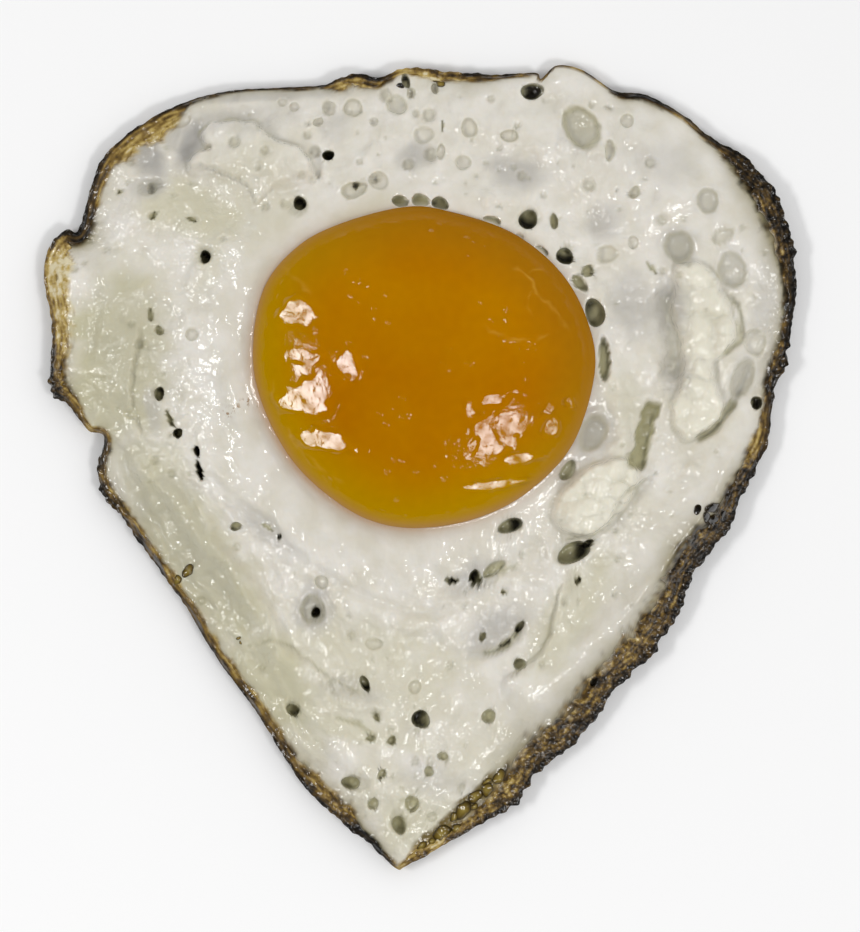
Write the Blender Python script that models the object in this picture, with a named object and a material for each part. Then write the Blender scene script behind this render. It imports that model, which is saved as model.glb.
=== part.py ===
"""A fried egg, sunny side up, about 101 mm wide and 108 mm long.

Two solids. egg_white is the set white: a sheet with a browned, slightly lifted rim and
a rounded hollow that holds the yolk. yolk is the flattened body that sits in it.
The egg lies flat at z = 0, +Z is up, and its pointed end is towards -Y.
"""

import bpy
import numpy as np

MM = 0.001  # sizes below are in millimetres

# Outline of the white, clockwise from above, starting at the upper left corner.
WHITE_EDGE = (
    # upper edge, with the small dip near its right end
    (-30.9, 49.2), (-24.2, 50.6), (-13.5, 51.2), (-9.0, 52.7), (-5.4, 52.2), (-2.0, 53.4),
    (3.5, 53.0), (10.0, 52.6), (15.5, 52.9), (16.4, 52.1), (18.5, 53.9), (21.9, 53.3),
    # right shoulder
    (26.5, 50.4), (30.5, 49.9), (35.5, 47.2), (39.2, 44.2), (43.3, 41.8), (46.4, 38.7),
    (48.6, 34.4), (50.4, 27.7), (50.4, 21.7), (49.4, 15.9), (47.7, 10.7), (46.8, 3.7),
    # long lower right side, down to the point
    (43.6, -3.3), (41.9, -7.6), (40.0, -10.1), (36.7, -14.4), (35.0, -18.7), (31.1, -25.3),
    (26.7, -29.2), (23.2, -34.1), (19.3, -38.3), (15.8, -40.8), (13.0, -45.0), (8.1, -48.1),
    (2.8, -51.2), (-1.8, -53.8), (-3.2, -54.1),
    # lower left side
    (-6.9, -50.6), (-12.2, -46.2), (-16.6, -41.5), (-22.4, -32.3), (-27.1, -26.1),
    (-31.2, -19.2), (-36.5, -11.7), (-40.4, -6.3), (-43.3, -1.6),
    # folded flap on the left, and up to the corner
    (-42.4, 3.8), (-44.6, 4.9), (-47.1, 8.2), (-49.5, 11.0), (-49.3, 18.0), (-50.4, 27.1),
    (-47.9, 31.7), (-45.9, 31.5), (-44.6, 35.7), (-42.7, 41.1), (-37.9, 45.6),
)  # fmt: skip

# Outline of the yolk where it is widest, clockwise from above, starting at its top.
YOLK_EDGE = (
    (-2.0, 34.7), (3.6, 34.2), (12.3, 31.3), (18.8, 26.1), (22.5, 19.5), (23.5, 12.5),
    (20.6, 3.0), (15.0, -3.2), (8.6, -6.8), (1.4, -8.4), (-5.0, -8.0), (-10.8, -5.3),
    (-17.0, 0.3), (-21.3, 8.2), (-22.5, 15.5), (-20.9, 24.0), (-16.2, 29.6), (-10.0, 32.7),
)  # fmt: skip
YOLK_CENTRE = (0.7, 13.2)

YOLK_WIDEST_Z = 6.6  # height at which the yolk is widest
YOLK_RISE = 9.0  # from there up to the top
YOLK_DROP = 5.0  # and down to its underside
YOLK_ROUNDNESS = 2.25  # 2 is an ellipse in section, more is boxier
GAP = 0.35  # clearance between yolk and white

RIM_THICKNESS = 1.3  # browned outer edge
FIELD_HEIGHT = 4.7  # top of the white away from rim and yolk
RIM_SLOPE = 8.0  # distance over which the rim rises to the field
COLLAR_RISE = 2.3  # how far the white climbs round the yolk
COLLAR_WIDTH = 8.0
RIM_LIFT = 0.9  # how far the edge curls off the pan
LIFT_WIDTH = 5.0

# Widest bubble craters: x, y, radius, depth.
CRATERS = (
    (21.7, 45.7, 2.9, 1.6),
    (42.0, 26.5, 2.8, 1.1),
    (34.8, 29.6, 2.8, 1.3),
    (38.7, 35.8, 2.0, 1.0),
    (13.0, 38.6, 2.8, 1.0),
    (-9.0, 37.1, 1.8, 1.2),
    (-14.4, -19.1, 2.1, 2.3),
    (20.9, -11.0, 2.6, 2.6),
    (12.0, -7.8, 2.0, 2.0),
    (8.0, -15.0, 2.2, 1.8),
    (23.6, 20.4, 1.9, 2.4),
    (25.2, 13.2, 2.2, 2.2),
    (23.4, 4.6, 2.6, 1.4),
    (43.5, 11.7, 3.0, 1.1),
    (-9.5, -42.4, 2.2, 1.4),
    (-3.0, -48.0, 1.8, 1.3),
)

# Raised folds and curds: height, half width, and the line that each follows.
FOLDS = (
    (1.5, 3.4, ((44.6, 6.4), (37.8, -7.1), (29.7, -17.9), (22.0, -26.5), (10.8, -32.5))),
    (1.3, 4.0, ((37.6, 27.0), (37.8, 17.0), (38.2, 6.5))),
    (1.2, 4.5, ((43.0, 40.0), (47.0, 30.0), (46.5, 20.0))),
    (1.2, 5.0, ((-27.5, 43.0), (-22.0, 38.0), (-22.5, 30.0))),
    (1.5, 2.6, ((-47.0, 29.0), (-47.8, 19.0), (-46.5, 10.0))),
    (0.9, 2.2, ((-37.0, -6.0), (-28.0, -19.5), (-19.0, -33.0), (-9.0, -45.0))),
    (1.0, 2.6, ((28.0, 2.0), (21.5, -7.0), (16.0, -18.0))),
)

# Long hollows between the folds: depth, half width and line.
FURROWS = (
    (1.4, 1.8, ((33.0, 24.5), (34.5, 18.0), (34.0, 11.0))),
    (1.8, 1.3, ((31.2, 9.0), (30.0, 4.0), (29.3, -0.5))),
    (0.9, 1.8, ((-35.0, 12.5), (-33.5, 8.0), (-31.5, 3.5))),
    (0.8, 1.8, ((-33.0, 44.5), (-31.5, 40.0), (-30.5, 35.0))),
)

COLUMNS = 112  # steps round the egg
HOLLOW_ROWS = 5  # rings in the yolk's seat
FIELD_ROWS = 20  # rings from the yolk to the rim
BASE_ROWS = 5  # rings across the underside
YOLK_COLUMNS = 56
YOLK_ROWS = 14


def closed_curve(corners, steps):
    """Points at equal turns of parameter along a closed Catmull-Rom curve through corners."""
    knots = np.array(corners, float)
    at = np.linspace(0, len(knots), steps, endpoint=False)
    i = at.astype(int)
    t = (at - i)[:, None]
    a, b, c, d = (knots[(i + k) % len(knots)] for k in (-1, 0, 1, 2))
    return 0.5 * (2 * b + (c - a) * t + (2 * a - 5 * b + 4 * c - d) * t**2 + (3 * b - a - 3 * c + d) * t**3)


def reach(curve, angles):
    """Distance from the yolk's centre out to a closed curve, in each direction."""
    arm = curve - YOLK_CENTRE
    turn = np.arctan2(arm[:, 1], arm[:, 0])
    order = np.argsort(turn)
    return np.interp(angles, turn[order], np.hypot(*arm[order].T), period=2 * np.pi)


def distance_to(x, y, line):
    """Distance from each point to a run of straight pieces."""
    ends = np.array(line, float)
    nearest = np.full(np.shape(x), np.inf)
    for start, end in zip(ends[:-1], ends[1:]):
        along = end - start
        t = ((x - start[0]) * along[0] + (y - start[1]) * along[1]) / (along @ along)
        t = np.clip(t, 0, 1)
        gap = np.hypot(x - start[0] - t * along[0], y - start[1] - t * along[1])
        nearest = np.minimum(nearest, gap)
    return nearest


def smooth(t):
    """Rises from 0 to 1 as t does, level at both ends."""
    t = np.clip(t, 0, 1)
    return t * t * (3 - 2 * t)


def white_height(x, y, from_rim, from_yolk):
    """Top of the white: a rim rising to a field, a collar at the yolk, folds, furrows and craters."""
    height = RIM_THICKNESS + (FIELD_HEIGHT - RIM_THICKNESS) * smooth(from_rim / RIM_SLOPE) ** 0.7
    height += COLLAR_RISE * np.exp(-((from_yolk / COLLAR_WIDTH) ** 2))
    inland = smooth(from_rim / 4.0)
    for rise, width, line in FOLDS:
        height += rise * np.exp(-((distance_to(x, y, line) / width) ** 2)) * inland
    for depth, width, line in FURROWS:
        height -= depth * np.exp(-((distance_to(x, y, line) / width) ** 2))
    for cx, cy, radius, depth in CRATERS:
        height -= depth * np.exp(-((np.hypot(x - cx, y - cy) / radius) ** 4))
    lumps = np.sin(0.55 * x + 0.9 * np.sin(0.31 * y)) * np.sin(0.49 * y + 0.8 * np.sin(0.37 * x))
    return height + 0.3 * lumps * inland


def mesh_of_rings(rings):
    """A closed body from rings of equal count, top middle first; the first and last are one point each."""
    columns = len(rings[1])
    points = np.concatenate([rings[0][:1], *rings[1:-1], rings[-1][:1]])
    last = len(points) - 1
    pairs = [(step, (step + 1) % columns) for step in range(columns)]
    faces = [(0, 1 + a, 1 + b) for a, b in pairs]
    for near in range(1, last - columns, columns):
        far = near + columns
        faces += [(near + b, near + a, far + a, far + b) for a, b in pairs]
    far = last - columns
    faces += [(far + b, far + a, last) for a, b in pairs]
    return points, faces


def add_object(name, points, faces, material):
    mesh = bpy.data.meshes.new(name)
    mesh.from_pydata((points * MM).tolist(), [], faces)
    mesh.update()
    mesh.shade_smooth()
    mesh.materials.append(material)
    piece = bpy.data.objects.new(name, mesh)
    bpy.context.scene.collection.objects.link(piece)
    return piece


def food_material(name, colour, roughness):
    """A moist, non-metallic surface of one colour, in linear RGB."""
    material = bpy.data.materials.new(name)
    material.use_nodes = True
    shader = material.node_tree.nodes["Principled BSDF"]
    shader.inputs["Base Color"].default_value = (*colour, 1)
    shader.inputs["Roughness"].default_value = roughness
    shader.inputs["Metallic"].default_value = 0
    return material


def centred_outlines():
    """The two outlines, moved together so that the white's box is centred on the origin."""
    white = closed_curve(WHITE_EDGE, 720)
    middle = (white.min(axis=0) + white.max(axis=0)) / 2
    return white - middle, closed_curve(YOLK_EDGE, 360) - middle


def yolk_section(width, reach_up_or_down):
    """Height above or below the widest level at a share of the full width."""
    return reach_up_or_down * (1 - width**YOLK_ROUNDNESS) ** (1 / YOLK_ROUNDNESS)


def make_yolk(yolk_curve):
    """A flattened round body: rings from the middle of its top, past the widest level, to its underside."""
    angles = np.linspace(-np.pi, np.pi, YOLK_COLUMNS, endpoint=False)
    arm = reach(yolk_curve, angles)
    heading = np.stack([np.cos(angles), np.sin(angles)], axis=1)
    rings = []
    for share in np.linspace(0, 2, YOLK_ROWS + 1):
        width = np.sin(0.5 * np.pi * min(share, 2 - share))
        level = YOLK_WIDEST_Z + yolk_section(width, YOLK_RISE if share < 1 else -YOLK_DROP)
        plan = YOLK_CENTRE + heading * (arm * width)[:, None]
        rings.append(np.column_stack([plan, np.full(YOLK_COLUMNS, level)]))
    points, faces = mesh_of_rings(rings)
    return add_object("yolk", points, faces, food_material("yolk_set", (0.42, 0.16, 0.001), 0.15))


def make_white(white_curve, yolk_curve):
    """Rings from the middle of the yolk's seat, out over the field to the rim, and back below."""
    angles = np.linspace(-np.pi, np.pi, COLUMNS, endpoint=False)
    heading = np.stack([np.cos(angles), np.sin(angles)], axis=1)
    inner = reach(yolk_curve, angles) + GAP
    outer = reach(white_curve, angles)
    closed_white = np.vstack([white_curve, white_curve[:1]])
    closed_yolk = np.vstack([yolk_curve, yolk_curve[:1]])

    def ring(arm, height):
        plan = YOLK_CENTRE + heading * arm[:, None]
        return np.column_stack([plan, np.broadcast_to(height, COLUMNS)])

    rings = []
    for width in np.sin(np.linspace(0, 0.5 * np.pi, HOLLOW_ROWS + 1))[:-1]:
        seat = YOLK_WIDEST_Z - yolk_section(width, YOLK_DROP + GAP)
        rings.append(ring(inner * width, seat))
    rings.append(ring(inner, YOLK_WIDEST_Z))
    for share in np.linspace(0, 1, FIELD_ROWS + 1) ** 0.85:
        arm = inner + (outer - inner) * (0.015 + 0.985 * share)
        x, y = (YOLK_CENTRE + heading * arm[:, None]).T
        from_rim = distance_to(x, y, closed_white) if share < 1 else np.zeros(COLUMNS)
        from_yolk = distance_to(x, y, closed_yolk)
        top = white_height(x, y, from_rim, from_yolk)
        rings.append(ring(arm, top + RIM_LIFT * smooth(1 - from_rim / LIFT_WIDTH)))
    rings.append(ring(outer - 0.25, RIM_LIFT))
    rings.append(ring(outer - LIFT_WIDTH, 0.0))
    for share in np.linspace(1, 0, BASE_ROWS)[1:]:
        rings.append(ring((outer - LIFT_WIDTH) * share, 0.0))
    points, faces = mesh_of_rings(rings)
    return add_object("egg_white", points, faces, food_material("egg_white_set", (0.68, 0.63, 0.54), 0.3))


for old in list(bpy.data.objects):
    bpy.data.objects.remove(old)
white_outline, yolk_outline = centred_outlines()
make_white(white_outline, yolk_outline)
make_yolk(yolk_outline)
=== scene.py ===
"""A fried egg, sunny side up: the set white with its bubble holes, the browned rim and the soft yolk.

Lengths are in millimetres until a mesh is made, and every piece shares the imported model's frame:
+Z is up, the pointed end is towards -Y, and z = 0 is what the egg lies on.
"""

import itertools

import bpy
import numpy as np
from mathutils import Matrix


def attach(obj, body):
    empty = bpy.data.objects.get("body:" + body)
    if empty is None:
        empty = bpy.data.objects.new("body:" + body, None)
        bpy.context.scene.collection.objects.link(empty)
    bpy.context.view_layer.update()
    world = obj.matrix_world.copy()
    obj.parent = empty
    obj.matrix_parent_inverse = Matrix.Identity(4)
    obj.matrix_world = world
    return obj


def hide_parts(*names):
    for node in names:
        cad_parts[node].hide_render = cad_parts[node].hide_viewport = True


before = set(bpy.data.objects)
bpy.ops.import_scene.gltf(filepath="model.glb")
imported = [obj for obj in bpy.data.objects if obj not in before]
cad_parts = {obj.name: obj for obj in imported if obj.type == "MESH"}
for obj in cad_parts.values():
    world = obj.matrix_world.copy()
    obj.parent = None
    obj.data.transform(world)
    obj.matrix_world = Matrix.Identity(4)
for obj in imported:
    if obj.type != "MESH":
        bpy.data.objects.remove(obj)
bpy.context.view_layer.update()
MM = 0.001

# ---------------------------------------------------------------------------
# The set white: coagulated albumen, opaque and milky with a wet skin. It is one closed sheet, thick at
# the yolk and thin at the rim, that ran out and set where the pan was hot: a line of soft scallops
# with a pointed end, a long charred side, and a flap folded up on the left.
# ---------------------------------------------------------------------------

WHITE_EDGE = (
    # upper edge, with the small dip near its right end
    (-30.9, 49.2), (-24.2, 50.6), (-13.5, 51.2), (-9, 52.7), (-5.4, 52.2), (-2, 53.4),
    (3.5, 53), (10, 52.6), (15.5, 52.9), (16.4, 52.1), (18.5, 53.9), (21.9, 53.3),
    # right shoulder
    (26.5, 50.4), (30.5, 49.9), (35.5, 47.2), (39.2, 44.2), (43.3, 41.8), (46.4, 38.7),
    (48.6, 34.4), (50.4, 27.7), (50.4, 21.7), (49.4, 15.9), (47.7, 10.7), (46.8, 3.7),
    # long lower right side, down to the point
    (43.6, -3.3), (41.9, -7.6), (40, -10.1), (36.7, -14.4), (35, -18.7), (31.1, -25.3),
    (26.7, -29.2), (23.2, -34.1), (19.3, -38.3), (15.8, -40.8), (13, -45), (8.1, -48.1),
    (2.8, -51.2), (-1.8, -53.8), (-3.2, -54.1),
    # lower left side
    (-6.9, -50.6), (-12.2, -46.2), (-16.6, -41.5), (-22.4, -32.3), (-27.1, -26.1),
    (-31.2, -19.2), (-36.5, -11.7), (-40.4, -6.3), (-43.3, -1.6),
    # folded flap on the left, and up to the corner
    (-42.4, 3.8), (-44.6, 4.9), (-47.1, 8.2), (-49.5, 11), (-49.3, 18), (-50.4, 27.1),
    (-47.9, 31.7), (-45.9, 31.5), (-44.6, 35.7), (-42.7, 41.1), (-37.9, 45.6),
)  # fmt: skip

# Outline of the yolk where it is widest, clockwise from its top.
YOLK_EDGE = (
    (-2, 34.7), (3.6, 34.2), (12.3, 31.3), (18.8, 26.1), (22.5, 19.5), (23.5, 12.5), (20.6, 3), (15, -3.2),
    (8.6, -6.8), (1.4, -8.4), (-5, -8), (-10.8, -5.3), (-17, 0.3), (-21.3, 8.2), (-22.5, 15.5), (-20.9, 24),
    (-16.2, 29.6), (-10, 32.7),
)  # fmt: skip


def through(corners, steps, closed=True):
    """Points along a Catmull-Rom curve through corners, at equal turns of its parameter."""
    knots = np.array(corners, float)
    if not closed:
        knots = np.vstack([2 * knots[0] - knots[1], knots, 2 * knots[-1] - knots[-2]])
    spans = len(knots) if closed else len(knots) - 3
    at = np.linspace(0, spans, steps, endpoint=not closed)
    i = np.minimum(at.astype(int), spans - 1)
    t = (at - i)[:, None]
    first = -1 if closed else 0
    a, b, c, d = (knots[(i + first + k) % len(knots)] for k in range(4))
    slope, bend, twist = c - a, 2 * a - 5 * b + 4 * c - d, 3 * b - a - 3 * c + d
    return 0.5 * (2 * b + slope * t + bend * t**2 + twist * t**3)


white_outline = through(WHITE_EDGE, 720)
egg_middle = (white_outline.min(axis=0) + white_outline.max(axis=0)) / 2
white_outline -= egg_middle
yolk_outline = through(YOLK_EDGE, 360) - egg_middle
YOLK_CENTRE = np.array([0.7, 13.2])
WHITE_CENTRE = np.array([0.0, 10.0])


def smooth(t):
    """Rises from 0 to 1 as t does, level at both ends."""
    t = np.clip(t, 0, 1)
    return t * t * (3 - 2 * t)


def reach(curve, centre, angles):
    """Distance from a centre out to the closed curve round it, in each direction."""
    arm = curve[::-1] - centre
    turn = np.maximum.accumulate(np.unwrap(np.arctan2(arm[:, 1], arm[:, 0])))
    turn += np.linspace(0, 1e-4, len(turn))
    return np.interp(angles, turn, np.hypot(*arm.T), period=2 * np.pi)


def to_line(x, y, line):
    """For each point: distance to a run of straight pieces, positive on its right, and how far along it."""
    nearest = np.full(x.shape, 1e9)
    side = np.zeros(x.shape)
    place = np.zeros(x.shape)
    run = 0.0
    for start, end in zip(line[:-1], line[1:]):
        along = end - start
        length = max(np.hypot(*along), 1e-9)
        dx, dy = x - start[0], y - start[1]
        t = np.clip((dx * along[0] + dy * along[1]) / length**2, 0, 1)
        gap = np.hypot(dx - t * along[0], dy - t * along[1])
        closer = gap < nearest
        nearest = np.where(closer, gap, nearest)
        side = np.where(closer, dy * along[0] - dx * along[1], side)
        place = np.where(closer, run + t * length, place)
        run += length
    return nearest * np.where(side > 0, -1, 1), place, run


def beside(x, y, corners, fade_in, fade_out, steps=24):
    """Distance from a curve drawn through corners, and a strength that rises from 0 to 1 in from each end."""
    gap, along, run = to_line(x, y, through(corners, steps, closed=False))
    return gap, smooth(along / fade_in) * smooth((run - along) / fade_out)


def noise(x, y, size, seed):
    """Smooth random relief from -1 to 1: a random slope at each corner of a lattice, blended between."""
    turn = 0.7 * seed
    u = (x * np.cos(turn) - y * np.sin(turn)) / size + 31.7 * seed
    v = (x * np.sin(turn) + y * np.cos(turn)) / size - 17.3 * seed
    i, j = np.floor(u), np.floor(v)
    f, g = u - i, v - j
    total = 0
    for a, b in itertools.product((0, 1), repeat=2):
        spin = 2 * np.pi * scatter(i + a, j + b, seed)
        ramp = np.cos(spin) * (f - a) + np.sin(spin) * (g - b)
        weight_u = 1 - np.abs(f - a)
        weight_v = 1 - np.abs(g - b)
        total = total + ramp * fade(weight_u) * fade(weight_v)
    return 1.5 * total


def fade(t):
    """The quintic step that keeps noise free of creases."""
    return t**3 * (t * (6 * t - 15) + 10)


def scatter(i, j, seed):
    """A number from 0 to 1 for each whole i and j, that looks random and is always the same."""
    n = i.astype(np.int64) * 374761393 + j.astype(np.int64) * 668265263 + int(seed * 1000) * 69069
    n = (n ^ (n >> 13)) * 1274126177
    n = (n ^ (n >> 16)) * 1103515245
    return ((n ^ (n >> 15)) & 0xFFFFFF) / float(0x1000000)


def bubbles(x, y, size, seed):
    """Distance, in lattice cells of which each has one jittered point, to the nearest, and its own number."""
    u, v = x / size + 11.3 * seed, y / size - 7.9 * seed
    i, j = np.floor(u), np.floor(v)
    nearest = np.full(x.shape, 9.0)
    owner = np.zeros(x.shape)
    for a, b in itertools.product((-1, 0, 1), repeat=2):
        px = i + a + 0.15 + 0.7 * scatter(i + a, j + b, seed)
        py = j + b + 0.15 + 0.7 * scatter(i + a, j + b, seed + 0.5)
        gap = np.hypot(u - px, v - py)
        closer = gap < nearest
        nearest = np.where(closer, gap, nearest)
        owner = np.where(closer, scatter(i + a, j + b, seed + 0.25), owner)
    return nearest, owner


# Relief: thick albumen stands round the yolk, thin albumen has run out and set in folds, and steam
# from the pan left pits right through it and bubble craters on top.

RIM_THICKNESS = 1.3
FIELD_HEIGHT = 4.7
THINNEST = 0.55  # what is left at the bottom of the deepest pit
RIM_SLOPE = 8.0
COLLAR_RISE = 2.3
COLLAR_WIDTH = 8.0
CREST_RISE = 1.5  # the lip that hugs the yolk at its lower left
CREST_WIDTH = 1.3
PITTED_SIDE = 38  # degrees: the way from the yolk in which its collar is low and full of pits
RIM_LIFT = 0.9  # how far the rim curled up off the pan
LIFT_WIDTH = 5.0
YOLK_SEAT = 1.2  # thickness of the white under the yolk
CLEAR_DIP = 0.35  # how far clear places have sunk

# Raised folds: height, half width, and the line that each follows.
FOLDS = (
    (1.5, 3.4, ((44.6, 6.4), (37.8, -7.1), (29.7, -17.9), (22, -26.5), (10.8, -32.5))),
    (0.9, 1.2, ((40.5, -3), (34, -11.5), (27, -20.5))),
    (0.7, 4.5, ((43, 40), (47, 30), (46.5, 20))),
    (0.8, 5, ((-27.5, 43), (-22, 38), (-22.5, 30))),
    (1.5, 2.4, ((-47, 29), (-47.8, 19), (-46.5, 10))),
    (1, 1.6, ((-37.5, -7.5), (-31, -16.5), (-25.5, -25), (-20, -33))),
    (1, 1.4, ((-35, -0.5), (-31, -8), (-24, -15), (-18, -25))),
    (1, 2.6, ((28, 2), (21.5, -7), (16, -18))),
    (0.6, 1.1, ((26.5, 9), (27.5, 5), (26, 1))),
    (0.5, 1.6, ((-18.5, 49), (-10, 50), (-3, 51.5))),
    (0.5, 1.4, ((8, 50.8), (13, 50.6), (19.5, 51.8), (25, 49))),
    (0.8, 1.5, ((-44.3, 9.5), (-44, 7), (-42.9, 5.2), (-41, 4.4))),
    (1.2, 2.2, ((-26.4, 14.5), (-24.6, 9.5), (-23.4, 4.5))),
    (0.9, 2.2, ((35.8, 37), (31.5, 34.6), (30, 36))),
    (0.8, 1.8, ((28.5, 46), (31, 43.6), (32.5, 41))),
    (0.7, 1.5, ((43.5, 3.5), (41, -0.5), (38.8, -3.4))),
    (0.7, 1.5, ((25.5, -20.5), (22.5, -23.5), (20.5, -27))),
    (0.8, 1.6, ((-4.5, -47.5), (-5.5, -50), (-3, -52))),
)  # fmt: skip

# Long hollows: depth, half width and line.
FURROWS = (
    (1.3, 1.7, ((33, 24.5), (34, 18), (34.3, 11))),
    (0.8, 1.5, ((-34, 12), (-33.4, 6.5), (-31, 3))),
    (0.9, 1.6, ((-31, 44.5), (-30.6, 41.5))),
    (0.9, 2.2, ((-36.3, 43), (-36.5, 39))),
    (0.6, 0.8, ((-40.5, 3), (-38, -4), (-33, -12), (-27.5, -20))),
    (0.5, 0.7, ((-28.5, -3.5), (-23.5, -12), (-19, -20), (-16.5, -26))),
    (1.1, 0.7, ((6.8, -25.4), (10.8, -24.2), (13, -22.6), (13.4, -20.4))),
    (0.9, 0.6, ((36.6, 3.2), (39.8, 5.4), (42.5, 9.6), (44.6, 14))),
    (0.5, 0.6, ((-15, -13), (-8, -17), (0, -19.5), (7, -18.5))),
)

# Splits with steep walls: depth, half width and line.
SPLITS = (
    (1.8, 1, ((31.4, 9.2), (30.8, 6.6), (29.9, 3.4), (29.1, 1.2), (28.6, -0.6))),
    (0.7, 0.4, ((36.8, 3.4), (39.8, 5.6), (42.5, 9.6))),
    (0.5, 0.4, ((9.8, -14.6), (11.8, -13.5), (13.8, -13.3))),
    (0.7, 0.35, ((8, -25.2), (10.6, -24.4), (12.8, -22.8), (13.6, -20.8))),
    (0.5, 0.35, ((-12, -33.4), (-8.6, -34.4), (-5.6, -36.4))),
    (0.6, 0.35, ((41.5, 23.6), (43.2, 20.6), (42.9, 17.4), (40.4, 14.4))),
)

# Edges of overlapping sheets: height, how far the raised side reaches, and the line, which has the
# raised side on its right.
LIPS = (
    (2.3, 7, ((-30, 38.4), (-31, 40.2), (-30.7, 41.6), (-29.2, 42.4), (-27.9, 42.9), (-29, 43.6),
              (-29.4, 44.8), (-28.4, 45.9), (-26.3, 46.4), (-23.6, 46.5), (-21.7, 46), (-20.5, 44.6),
              (-18.9, 43.4), (-16.3, 42.9), (-14.6, 40.6), (-13.6, 37.5))),
    (1.1, 5, ((-37, 2.6), (-38, 6), (-38.8, 9.5), (-38.4, 14), (-37.4, 20))[::-1]),
    (1.2, 5, ((32, -0.5), (27, -3.5), (25, -7.5), (21.5, -9.3), (18.7, -10))),
    (1.2, 3, ((19.5, -14.5), (18.3, -18.5), (17.2, -23.3), (14.5, -26.4), (10, -29.5))[::-1]),
    (0.8, 3, ((-23, -25), (-19, -23.5), (-12, -28.5), (-6, -31.5))),
)  # fmt: skip

# Lumpy curds that boiled up through the white: height, size of their lumps, and outline.
CURDS = (
    (2, 2.8, ((34.2, 26.9), (36.5, 27.7), (38.6, 26.9), (40.2, 24.6), (41.2, 22.6), (42.3, 19.2),
              (41.9, 16.5), (39.4, 14.2), (39.6, 12.1), (40.8, 7.1), (37.8, 4.4), (35.5, 3.7),
              (34, 5.7), (33.8, 8.4), (35.1, 11.8), (34.6, 17.2), (33.5, 21.3), (34.2, 24))),
    (1.8, 2.5, ((18.4, -4), (21.5, -0.6), (25, 1), (28.6, 1), (29, -3), (26.2, -6.8),
                (23, -9), (19.4, -8.6), (17.6, -6.6))),
)  # fmt: skip

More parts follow.
